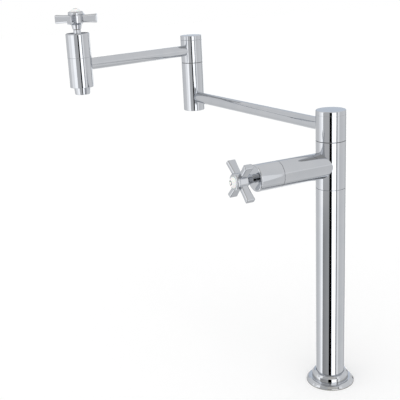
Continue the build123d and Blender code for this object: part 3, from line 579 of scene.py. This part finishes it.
NOISE_RANGE = {"From Min": 0.3, "From Max": 0.7}  # where nearly all of a noise texture's values lie
MARKS_RANGE = {"From Min": 0.35, "From Max": 0.75}  # a little higher, so that buffing marks are sparse


def two_tones(tree, size, dark, light, noise_settings):
    """Object coordinates, noise in patches of a size in millimetres, and its mix of two colours."""
    where = add_node(tree, "ShaderNodeTexCoord").outputs["Object"]
    noise = add_node(
        tree, "ShaderNodeTexNoise", {"Scale": 1 / (size * MM), **noise_settings}, {"Vector": where}
    ).outputs["Fac"]
    share = add_node(tree, "ShaderNodeMapRange", NOISE_RANGE, {"Value": noise}).outputs["Result"]
    # The Mix node's colour sockets are numbers 6 and 7, and its colour result is number 2.
    tone = add_node(
        tree, "ShaderNodeMix", {"data_type": "RGBA", 6: linear(dark), 7: linear(light)}, {"Factor": share}
    )
    return where, noise, tone.outputs[2]


def wire(tree, shader, colour, roughness, height, bump_settings):
    """Join a colour, a roughness and a bump of this height to the shader."""
    bump = add_node(tree, "ShaderNodeBump", bump_settings, {"Height": height})
    tree.links.new(colour, shader.inputs["Base Color"])
    tree.links.new(roughness, shader.inputs["Roughness"])
    tree.links.new(bump.outputs["Normal"], shader.inputs["Normal"])


def polished_chrome(name, haze, waviness):
    """Chromium plate on polished brass.

    Chromium returns a little over half of the light, slightly blue, so pale surroundings look light grey in
    it. Buffing leaves a faint haze in patches about 20 mm across, and a barely wavy surface. The buffing
    marks are drawn 1.2 mm wide, coarser than real ones, so that they show.
    """
    material, tree, shader = surface(name, {"Metallic": 1.0, "Specular Tint": linear("#EBECED")})
    where, patches, tone = two_tones(tree, 20, "#C2C5CA", "#C7C9CD", {"Detail": 2.0, "Roughness": 0.5})
    marks = add_node(
        tree,
        "ShaderNodeTexNoise",
        {"Scale": 1 / (1.2 * MM), "Detail": 3.0, "Roughness": 0.6},
        {"Vector": where},
    ).outputs["Fac"]
    patchy = add_node(
        tree, "ShaderNodeMapRange", {**NOISE_RANGE, "To Min": haze * 0.6, "To Max": haze}, {"Value": patches}
    )
    marked = add_node(
        tree, "ShaderNodeMapRange", {**MARKS_RANGE, "To Min": 0.0, "To Max": haze * 0.5}, {"Value": marks}
    )
    rough = add_node(
        tree,
        "ShaderNodeMath",
        {"operation": "ADD"},
        {0: patchy.outputs["Result"], 1: marked.outputs["Result"]},
    )
    wire(tree, shader, tone, rough.outputs[0], patches, {"Strength": 1.0, "Distance": waviness * MM})
    return material


def turned_metal(name, dark, light, roughness, line_width):
    """Machined metal: fine tool lines, light and dark by turns and each about line_width millimetres wide.

    The tone changes slowly, in patches about 6 mm across.
    """
    material, tree, shader = surface(name, {"Metallic": 1.0})
    where, _, tone = two_tones(tree, 6, dark, light, {"Detail": 4.0})
    lines = add_node(
        tree,
        "ShaderNodeTexWave",
        {
            "wave_type": "BANDS",
            "bands_direction": "Z",
            "Scale": 1 / (line_width * MM * 2 * np.pi),
            "Distortion": 0.6,
        },
        {"Vector": where},
    ).outputs["Fac"]
    rough = add_node(
        tree, "ShaderNodeMapRange", {"To Min": roughness * 0.8, "To Max": roughness * 1.2}, {"Value": lines}
    )
    wire(tree, shader, tone, rough.outputs["Result"], lines, {"Strength": 0.6, "Distance": 0.01 * MM})
    return material


def moulded(name, dark, light, roughness, grain, depth, settings=()):
    """Moulded or fired surface: a fine grain of the given size and depth in millimetres."""
    material, tree, shader = surface(name, settings)
    _, speck, tone = two_tones(tree, grain, dark, light, {"Detail": 3.0, "Roughness": 0.55})
    rough = add_node(
        tree,
        "ShaderNodeMapRange",
        {**NOISE_RANGE, "To Min": roughness * 0.85, "To Max": roughness * 1.15},
        {"Value": speck},
    )
    wire(tree, shader, tone, rough.outputs["Result"], speck, {"Strength": 0.5, "Distance": depth * MM})
    return material


# Chrome is a clean mirror on the drawn tubes, nearly so on the turned bodies, and a little wavy where the
# cast handles were polished by hand.
tube_chrome = polished_chrome("polished_chrome_on_drawn_tube", haze=0.035, waviness=0.006)
barrel_chrome = polished_chrome("polished_chrome_on_turned_brass", haze=0.04, waviness=0.006)
cast_chrome = polished_chrome("polished_chrome_on_cast_brass", haze=0.05, waviness=0.012)
# Brass is warm yellow and shows its tool lines, and spring steel is a cooler grey.
brass = turned_metal("machined_brass", "#B08A45", "#CBA55E", roughness=0.28, line_width=0.25)
spring_steel = turned_metal("stainless_spring_steel", "#9B9C9D", "#B4B5B6", roughness=0.32, line_width=0.2)
# Nitrile rubber is matt black with a fine mould grain.
rubber = moulded("moulded_nitrile_rubber", "#151516", "#242426", roughness=0.6, grain=0.4, depth=0.02)
# Acetal is a waxy plastic with a soft sheen. Here it is dark grey as painted shade: the washers that show in
# the turning seams are darkened to stand for the shade in those narrow gaps.
seam_shade_acetal = moulded("turned_acetal_dark_as_seam_shade", "#2B2D2F", "#393B3D", roughness=0.42, grain=0.6, depth=0.01)
# Lapped alumina is off-white and very smooth.
alumina = moulded("lapped_alumina", "#E3DFD4", "#EEEAE0", roughness=0.2, grain=0.5, depth=0.004)
# Porcelain is milk white under a clear glaze with a wet gloss.
clear_glaze = {"Coat Weight": 1.0, "Coat Roughness": 0.04, "Coat IOR": 1.5}
clear_glaze |= {"Subsurface Weight": 0.1, "Subsurface Scale": 0.002}
porcelain = moulded(
    "glazed_porcelain", "#F1F1EE", "#F6F6F4", roughness=0.3, grain=2.5, depth=0.01, settings=clear_glaze
)
# The ring is a dark grey glaze that pooled slightly unevenly before firing.
thin_glaze = {"Coat Weight": 0.6, "Coat Roughness": 0.05}
dark_glaze = moulded(
    "dark_grey_glaze", "#1C1F22", "#2A2E32", roughness=0.12, grain=1.0, depth=0.01, settings=thin_glaze
)
# The aerator insert is light grey acetal copolymer with a fine mould texture.
aerator_plastic = moulded(
    "moulded_grey_plastic", "#C9CBCA", "#D6D8D7", roughness=0.45, grain=0.5, depth=0.015
)


# ---------------------------------------------------------------- pieces
def dress(piece, material, body, slot, *nodes):
    """Give a new piece its finish and its body, and hide the nodes that it stands for."""
    piece.data.materials.append(material)
    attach(piece, body)
    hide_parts(*nodes)


# The flange's rim and its collar's shoulder each roll over in short runs with rounded corners.
flange = turned_piece(
    "flange",
    DECK,
    outline(
        [
            (POST_RADIUS + FIT_GAP, HOLLOW_HEIGHT),
            (FOOT_RADIUS + HOLLOW_GAP, HOLLOW_HEIGHT),
            (FOOT_RADIUS + HOLLOW_GAP, GASKET_HEIGHT),
            (GASKET_RADIUS, GASKET_HEIGHT),
            (GASKET_RADIUS, 0),
            (FLANGE_RADIUS, 0, 0.2),
            (29.4, 1.5, 0.8),
            (27.4, 3.9, 1.5),
            (24.6, FLANGE_HEIGHT, 1.0),
            (COLLAR_RADIUS, FLANGE_HEIGHT, 0.4),
            (COLLAR_RADIUS, 11.0, 1.4),
            (20.2, 13.6, 1.4),
            (POST_RADIUS + FIT_GAP, COLLAR_HEIGHT, 0.15),
        ]
    ),
)
dress(flange, barrel_chrome, "post", "chrome_plate", "deck_flange")

foot = turned_piece(
    "foot",
    DECK,
    outline(
        [
            (INLET_RADIUS, 0, 0.6),
            (FOOT_RADIUS, 0, 0.4),
            (FOOT_RADIUS, FOOT_HEIGHT, 0.4),
            (POST_FIT, FOOT_HEIGHT),
            (POST_FIT, FOOT_TOP),
            (FOOT_BORE, FOOT_TOP),
            (FOOT_BORE, INLET_DEPTH),
            (INLET_RADIUS, INLET_DEPTH),
        ]
    ),
)
dress(foot, brass, "post", "brass", "threaded_foot")

tube = turned_piece(
    "tube",
    DECK,
    outline(
        [
            (POST_BORE, FOOT_HEIGHT),
            (POST_RADIUS, FOOT_HEIGHT),
            (POST_RADIUS, TEE_SEAM - SEAM_LINE, SEAM_LINE_ROUND),
            (POST_RADIUS - SEAM_DEPTH, TEE_SEAM - SEAM_LINE),
            (POST_RADIUS - SEAM_DEPTH, TEE_SEAM),
            (POST_BORE, TEE_SEAM),
        ]
    ),
)
dress(tube, tube_chrome, "post", "chrome_plate", "post_tube")

tee = turned_piece(
    "tee",
    DECK,
    outline(
        [
            (TEE_BORE, TEE_BOTTOM),
            (POST_FIT, TEE_BOTTOM),
            (POST_FIT, TEE_GROOVE_LOW),
            (TEE_GROOVE_RADIUS, TEE_GROOVE_LOW),
            (TEE_GROOVE_RADIUS, TEE_GROOVE_HIGH),
            (POST_FIT, TEE_GROOVE_HIGH),
            (POST_FIT, TEE_SEAM),
            (POST_RADIUS, TEE_SEAM, SEAM_ROUND),
            (POST_RADIUS, SWIVEL_SEAM, SEAM_ROUND),
            (POST_SPINDLE_SEAT, SWIVEL_SEAM),
            (POST_SPINDLE_SEAT, POST_SPINDLE_FLOOR),
            (0, POST_SPINDLE_FLOOR),
            (0, TEE_CEILING),
            (TEE_BORE, TEE_CEILING),
        ]
    ),
)
dress(tee, barrel_chrome, "post", "chrome_plate", "valve_tee")

branch = saddle_branch()
dress(branch, barrel_chrome, "post", "chrome_plate", "valve_branch")

post_barrel = turned_piece(
    "post_barrel",
    POST_SWIVEL,
    swivel_barrel(POST_RADIUS, POST_SPINDLE_RADIUS, POST_BARREL_TOP, POST_LID_ROUND),
)
dress(post_barrel, barrel_chrome, "lower_arm", "chrome_plate", "post_swivel_housing")
post_lid = turned_piece(
    "post_lid",
    POST_SWIVEL,
    barrel_lid(POST_RADIUS, POST_BARREL_TOP, POST_LID_HEIGHT, POST_LID_ROUND),
)
dress(post_lid, barrel_chrome, "lower_arm", "chrome_plate", "post_cap")

elbow_barrel = turned_piece(
    "elbow_barrel",
    ELBOW_SWIVEL,
    swivel_barrel(BARREL_RADIUS, ELBOW_SPINDLE_RADIUS, ELBOW_BARREL_TOP, ELBOW_LID_ROUND),
)
dress(elbow_barrel, barrel_chrome, "upper_arm", "chrome_plate", "elbow_upper_housing")
elbow_lid = turned_piece(
    "elbow_lid",
    ELBOW_SWIVEL,
    barrel_lid(BARREL_RADIUS, ELBOW_BARREL_TOP, ELBOW_LID_HEIGHT, ELBOW_LID_ROUND),
)
dress(elbow_lid, barrel_chrome, "upper_arm", "chrome_plate", "elbow_cap")

elbow_base = turned_piece(
    "elbow_base",
    ELBOW_SWIVEL,
    outline(
        [
            (0, ELBOW_BOTTOM),
            (BARREL_RADIUS, ELBOW_BOTTOM, 0.8),
            (BARREL_RADIUS, 0, SEAM_ROUND),
            (ELBOW_SPINDLE_SEAT, 0),
            (ELBOW_SPINDLE_SEAT, ELBOW_SPINDLE_FLOOR),
            (WATERWAY_RADIUS, ELBOW_SPINDLE_FLOOR),
            (WATERWAY_RADIUS, LOWER_ARM_HEIGHT - ELBOW_SEAM),
            (0, LOWER_ARM_HEIGHT - ELBOW_SEAM),
        ]
    ),
)
dress(elbow_base, barrel_chrome, "lower_arm", "chrome_plate", "elbow_lower_housing")


def arm(name, place, near_radius, length):
    """Drawn arm tube with its two ends seated in their sockets."""
    near = near_radius - SOCKET_DEPTH
    far = length - BARREL_RADIUS + SOCKET_DEPTH
    profile = outline([(ARM_BORE, near), (ARM_RADIUS, near), (ARM_RADIUS, far), (ARM_BORE, far)])
    return turned_piece(name, place, profile, SMALL_STEPS)


lower_arm = arm("lower_arm", LOWER_ARM, POST_RADIUS, LOWER_ARM_LENGTH)
dress(lower_arm, tube_chrome, "lower_arm", "chrome_plate", "lower_arm_tube")
upper_arm = arm("upper_arm", UPPER_ARM, BARREL_RADIUS, UPPER_ARM_LENGTH)
dress(upper_arm, tube_chrome, "upper_arm", "chrome_plate", "upper_arm_tube")

thread_bore = AERATOR_THREAD_RADIUS + FIT_GAP
spout = turned_piece(
    "spout",
    SPOUT_VALVE,
    outline(
        [
            (thread_bore, SPOUT_BOTTOM),
            (BARREL_RADIUS, SPOUT_BOTTOM, 0.6),
            (BARREL_RADIUS, 0, SEAM_ROUND),
            *CARTRIDGE_SEAT,
            (WATERWAY_RADIUS, THREAD_FLOOR),
            (thread_bore, THREAD_FLOOR),
        ]
    ),
)
dress(spout, barrel_chrome, "upper_arm", "chrome_plate", "spout_body")

aerator_top = THREAD_FLOOR - AERATOR_WASHER
lip_top = AERATOR_END + AERATOR_LIP
aerator = turned_piece(
    "aerator",
    SPOUT_VALVE,
    outline(
        [
            (AERATOR_MOUTH, AERATOR_END, 0.3),
            (AERATOR_END_RADIUS, AERATOR_END, 0.8),
            (AERATOR_TOP_RADIUS, SPOUT_BOTTOM),
            (AERATOR_THREAD_RADIUS, SPOUT_BOTTOM),
            (AERATOR_THREAD_RADIUS, aerator_top),
            (AERATOR_BORE, aerator_top),
            (AERATOR_BORE, lip_top),
            (AERATOR_MOUTH, lip_top),
        ]
    ),
)
dress(aerator, barrel_chrome, "upper_arm", "chrome_plate", "aerator_housing")

sleeve_bore = NOSE_RADIUS + FIT_GAP
collar_hole = STEM_COLLAR_RADIUS + FIT_GAP
cap_spigot = CAP_SOCKET - FIT_GAP
spigot_bore = cap_spigot - CAP_SPIGOT_WALL
spigot_end = HUB_TOP - CAP_SPIGOT_LENGTH
button_well = BUTTON_RADIUS + BUTTON_GAP
for valve, place, angle, body, handle_body in (
    ("front", FRONT_VALVE, FRONT_CROSS_ANGLE, "post", "front_handle"),
    ("spout", SPOUT_VALVE, SPOUT_CROSS_ANGLE, "upper_arm", "spout_handle"),
):
    sleeve = turned_piece(
        f"{valve}_sleeve",
        place,
        outline(
            [
                (sleeve_bore, 0),
                (BARREL_RADIUS, 0, SEAM_ROUND),
                (BARREL_RADIUS, SLEEVE_LENGTH, 1.7),
                (collar_hole, SLEEVE_LENGTH, 0.2),
                (collar_hole, SLEEVE_CEILING),
                (sleeve_bore, SLEEVE_CEILING),
            ]
        ),
    )
    dress(sleeve, barrel_chrome, body, "chrome_plate", f"{valve}_valve_sleeve")
    collar = turned_piece(
        f"{valve}_collar",
        place,
        outline(
            [
                (STEM_BORE, STEM_COLLAR_FOOT),
                (STEM_COLLAR_FOOT_RADIUS, STEM_COLLAR_FOOT),
                (STEM_COLLAR_FOOT_RADIUS, SLEEVE_CEILING),
                (STEM_COLLAR_RADIUS, SLEEVE_CEILING),
                (STEM_COLLAR_RADIUS, STEM_COLLAR_TOP, 0.3),
                (STEM_BORE, STEM_COLLAR_TOP),
            ]
        ),
        SMALL_STEPS,
    )
    dress(collar, barrel_chrome, body, "chrome_plate", f"{valve}_stem_collar")
    handle = cross_handle(f"{valve}_handle", place, angle)
    dress(handle, cast_chrome, handle_body, "chrome_plate", f"{valve}_cross_handle")
    holder = turned_piece(
        f"{valve}_button_holder",
        place,
        outline(
            [
                (0, HUB_TOP),
                (spigot_bore, HUB_TOP),
                (spigot_bore, spigot_end),
                (cap_spigot, spigot_end),
                (cap_spigot, HUB_TOP),
                (CAP_RADIUS, HUB_TOP, 0.8),
                (CAP_RADIUS, CAP_TOP, 2.2),
                (button_well, CAP_TOP, 0.3),
                (button_well, CAP_FLOOR),
                (0, CAP_FLOOR),
            ]
        ),
        SMALL_STEPS,
    )
    dress(holder, barrel_chrome, handle_body, "chrome_plate", f"{valve}_index_cap")
    button = turned_piece(f"{valve}_button", place, button_profile(), SMALL_STEPS)
    dress(button, porcelain, handle_body, "porcelain", f"{valve}_index_button")
    mark = turned_piece(f"{valve}_button_ring", place, mark_profile(), SMALL_STEPS)
    dress(mark, dark_glaze, handle_body, "dark_glaze", f"{valve}_index_mark")

inner_finishes = (
    (rubber, ("deck_gasket", "tee_oring", "post_spindle_orings", "elbow_spindle_orings", "aerator_washer")),
    (brass, ("post_spindle", "elbow_spindle")),
    (seam_shade_acetal, ("post_thrust_washer", "elbow_thrust_washer", "post_bearing_washer", "elbow_bearing_washer")),
    (spring_steel, ("post_retaining_ring", "elbow_retaining_ring")),
    (aerator_plastic, ("aerator_insert",)),
)
valve_finishes = (
    (rubber, ("seat_seal", "stem_orings")),
    (brass, ("cartridge_body", "stem")),
    (alumina, ("fixed_disc", "moving_disc")),
    (spring_steel, ("handle_screw",)),
)
plain_nodes = [(name, finish) for finish, names in inner_finishes for name in names]
for valve in ("front", "spout"):
    plain_nodes += [(f"{valve}_{name}", finish) for finish, names in valve_finishes for name in names]
for name, finish in plain_nodes:
    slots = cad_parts[name].data.materials
    slots.clear()
    slots.append(finish)


# ---------------------------------------------------------------- studio, in metres
RISE_START, RISE_END = 0.0, 0.13  # heights between which a card turns to its higher strength


def flat_sheet(name, points, material):
    """One flat stage sheet."""
    mesh = bpy.data.meshes.new(name)
    mesh.from_pydata([tuple(point) for point in points], [], [tuple(range(len(points)))])
    mesh.materials.append(material)
    sheet = bpy.data.objects.new(name, mesh)
    bpy.context.scene.collection.objects.link(sheet)
    return sheet


def card(name, corners, strength, end_strength=None, high_strength=None, tint="#FFFFFF"):
    """Studio card that only the polished metal sees.

    It is evenly bright, or shaded from its first upright edge to its second, or also towards one strength
    higher up.
    """
    material = bpy.data.materials.new(f"{name}_glow")
    material.use_nodes = True
    tree = material.node_tree
    tree.nodes.clear()
    glow = add_node(tree, "ShaderNodeEmission", {"Color": linear(tint), "Strength": strength})
    add_node(tree, "ShaderNodeOutputMaterial", links={"Surface": glow.outputs[0]})
    if end_strength is not None:
        where = add_node(tree, "ShaderNodeTexCoord").outputs["Object"]
        parts = add_node(tree, "ShaderNodeSeparateXYZ", links={0: where})
        ends = {"From Min": corners[0][0], "From Max": corners[1][0]}
        ends |= {"To Min": strength, "To Max": end_strength}
        shade = add_node(tree, "ShaderNodeMapRange", ends, {"Value": parts.outputs["X"]})
        if high_strength is not None:
            rise = {"From Min": RISE_START, "From Max": RISE_END, "To Max": high_strength}
            sources = {"Value": parts.outputs["Z"], "To Min": shade.outputs["Result"]}
            shade = add_node(tree, "ShaderNodeMapRange", rise, sources)
        tree.links.new(shade.outputs["Result"], glow.inputs["Strength"])
    sheet = flat_sheet(name, corners, material)
    sheet.visible_camera = False
    sheet.visible_diffuse = False
    sheet.visible_shadow = False
    return sheet


def upright(start, end, bottom, top):
    """Corners of an upright card.

    Each end is (x, y, lean), and the lean moves x by that much for each metre of height.
    """
    ends = ((start, bottom), (end, bottom), (end, top), (start, top))
    return [(x + lean * height, y, height) for (x, y, lean), height in ends]


# Edges of the cards in plan with their lean, in metres, set where the reflections in the photograph end.
CARD_EDGES = (
    (-1.700, -0.350, 0.0),
    (-0.469, -0.558, 0.0),
    (-0.230, -0.632, 0.0),
    (-0.085, -0.546, 0.14),
    (0.485, -0.527, 0.08),
    (0.735, -0.390, -0.06),
    (1.327, 0.105, 0.0),
    (1.300, 0.290, 0.0),
    (1.150, 0.640, 0.0),
)
STUDIO_BOTTOM = -1.6
WALL_TOP = 0.42
# Each card is a stack of strips: the top of a strip, then its strengths. A pale strip stands level with the
# spout's handle, which the photograph shows evenly grey.
CARD_STRIPS = (
    ("far_grey_card", ((1.3, 0.8, 0.92),)),
    ("grey_card", ((0.41, 1.25), (0.44, 0.86), (0.75, 1.0))),
    ("left_softbox", ((0.41, 1.6, 2.8), (0.44, 0.86), (0.75, 1.4))),
    ("dark_card", ((0.41, 0.29, 0.5, 0.64), (0.44, 0.86), (0.75, 0.6))),
    ("black_flag", ((0.387, 0.0), (0.425, 0.86), (0.75, 0.4))),
    ("right_softbox", ((0.75, 1.9),)),
    ("edge_strip", ((1.3, 0.25),)),
    ("side_softbox", ((1.3, 1.15),)),
)
for start, end, (name, strips) in zip(CARD_EDGES[:-1], CARD_EDGES[1:], CARD_STRIPS):
    bottom = STUDIO_BOTTOM
    for number, (top, *strengths) in enumerate(strips):
        card(f"{name}_{number}", upright(start, end, bottom, top), *strengths)
        bottom = top

# Behind the tap stand a grey wall with a dark strip, and above it paler cards that the flat tops mirror.
WALL_EDGES = (
    (1.15, 0.64, 0),
    (0.2, 1.9, 0),
    (-0.6, 1.8, 0),
    (-0.95, 1.6, 0),
    (-1.5, 1.2, 0),
    (-2.0, 0.1, 0),
    (-1.7, -0.35, 0),
)
WALL_SHADES = (
    ("side_wall", 0.82, 0.95),
    ("back_wall", 0.90),
    ("back_strip", 0.3),
    ("back_softbox", 1.6),
    ("left_wall", 1.0),
    ("left_strip", 0.85),
)
for start, end, (name, *strengths) in zip(WALL_EDGES[:-1], WALL_EDGES[1:], WALL_SHADES):
    card(name, upright(start, end, STUDIO_BOTTOM, WALL_TOP), *strengths)
card("low_sky", upright((-2.0, -0.2, 0), (-1.95, 0.57, 0), WALL_TOP, 0.9), 0.24, tint="#F0F4FF")
card("pale_sky", upright((-1.95, 0.57, 0), (-1.3, 1.6, 0), WALL_TOP, 1.3), 0.83, 1.03, tint="#ECF4FF")


def level_sheet(low_x, low_y, high_x, high_y, height):
    """Corners of a level rectangle."""
    plan = ((low_x, low_y), (high_x, low_y), (high_x, high_y), (low_x, high_y))
    return [(x, y, height) for x, y in plan]


card("ground", level_sheet(-4, -4, 4, 4, STUDIO_BOTTOM), 0.75)
card("ceiling", level_sheet(-4, -4, 4, 4, 1.3), 0.9)
card("front_ceiling", level_sheet(-0.3, -1.6, 1.6, 0.05, 1.28), 0.68, tint="#FFFCF6")
# A small disc just under the floor stands for the deck that the flange's rim mirrors.
DECK_PATCH_RADIUS = 0.0362
DECK_PATCH_HEIGHT = -0.001
around = np.linspace(0, 2 * np.pi, 48, endpoint=False)
rim = DECK_PATCH_RADIUS * np.stack((np.cos(around), np.sin(around)), axis=1)
card("deck_patch", [(x, y, DECK_PATCH_HEIGHT) for x, y in rim], 0.62, tint="#FFFBF0")

floor_material, floor_tree, floor_shader = surface(
    "matt_white_floor", {"Roughness": 1.0, "Specular IOR Level": 0.0, "Emission Strength": 0.05}
)
_, _, floor_tone = two_tones(floor_tree, 2.5, "#FBFBFB", "#FDFDFD", {"Detail": 2.0})
floor_tree.links.new(floor_tone, floor_shader.inputs["Base Color"])
FLOOR_REACH = 6.0
floor_corners = level_sheet(-FLOOR_REACH, -FLOOR_REACH, FLOOR_REACH, FLOOR_REACH, 0)
floor = flat_sheet("floor", floor_corners, floor_material)
floor.visible_glossy = False

world = bpy.data.worlds.new("studio")
bpy.context.scene.world = world
world.use_nodes = True
sky = world.node_tree
sky.nodes.clear()
# The camera, gloss and glass see white behind the floor, and the object gets a softer fill.
path = add_node(sky, "ShaderNodeLightPath")
seen = path.outputs["Is Camera Ray"]
for ray in ("Is Glossy Ray", "Is Transmission Ray"):
    more = add_node(sky, "ShaderNodeMath", {"operation": "MAXIMUM"}, {0: seen, 1: path.outputs[ray]})
    seen = more.outputs[0]
white = add_node(sky, "ShaderNodeBackground", {"Color": (1, 1, 1, 1), "Strength": 1.0})
fill = add_node(sky, "ShaderNodeBackground", {"Color": (1, 1, 1, 1), "Strength": 0.72})
both = add_node(sky, "ShaderNodeMixShader", links={0: seen, 1: fill.outputs[0], 2: white.outputs[0]})
add_node(sky, "ShaderNodeOutputWorld", links={"Surface": both.outputs[0]})

lamp_data = bpy.data.lights.new("soft_overhead", "SUN")
lamp_data.angle = np.radians(70)
lamp_data.energy = 0.95
lamp = bpy.data.objects.new("soft_overhead", lamp_data)
lamp_back = np.array((0.25, -0.35, 0.9))
lamp_back /= np.linalg.norm(lamp_back)
lamp_side = np.cross(UP, lamp_back)
lamp_side /= np.linalg.norm(lamp_side)
lamp_axes = np.stack((lamp_side, np.cross(lamp_back, lamp_side), lamp_back), axis=1)
lamp.matrix_world = Matrix(lamp_axes.tolist()).to_4x4()
lamp.visible_glossy = False
bpy.context.scene.collection.objects.link(lamp)

# The camera stands where it was fitted to the photograph's outlines.
camera_data = bpy.data.cameras.new("camera")
camera_data.lens = 69.18
camera_data.sensor_width = 36.0
camera_data.clip_start = 0.01
camera_data.clip_end = 50.0
camera = bpy.data.objects.new("camera", camera_data)
camera_axes = np.array(
    (
        (0.46824315, -0.23579693, 0.85155632),
        (0.88238151, 0.17537069, -0.43663257),
        (-0.0463814, 0.95584775, 0.29017897),
    )
)
camera_place = Matrix.Translation((0.70193, -0.53333, 0.50880))
camera.matrix_world = camera_place @ Matrix(camera_axes.tolist()).to_4x4()
bpy.context.scene.collection.objects.link(camera)
bpy.context.scene.camera = camera
bpy.context.scene.view_settings.view_transform = "Standard"
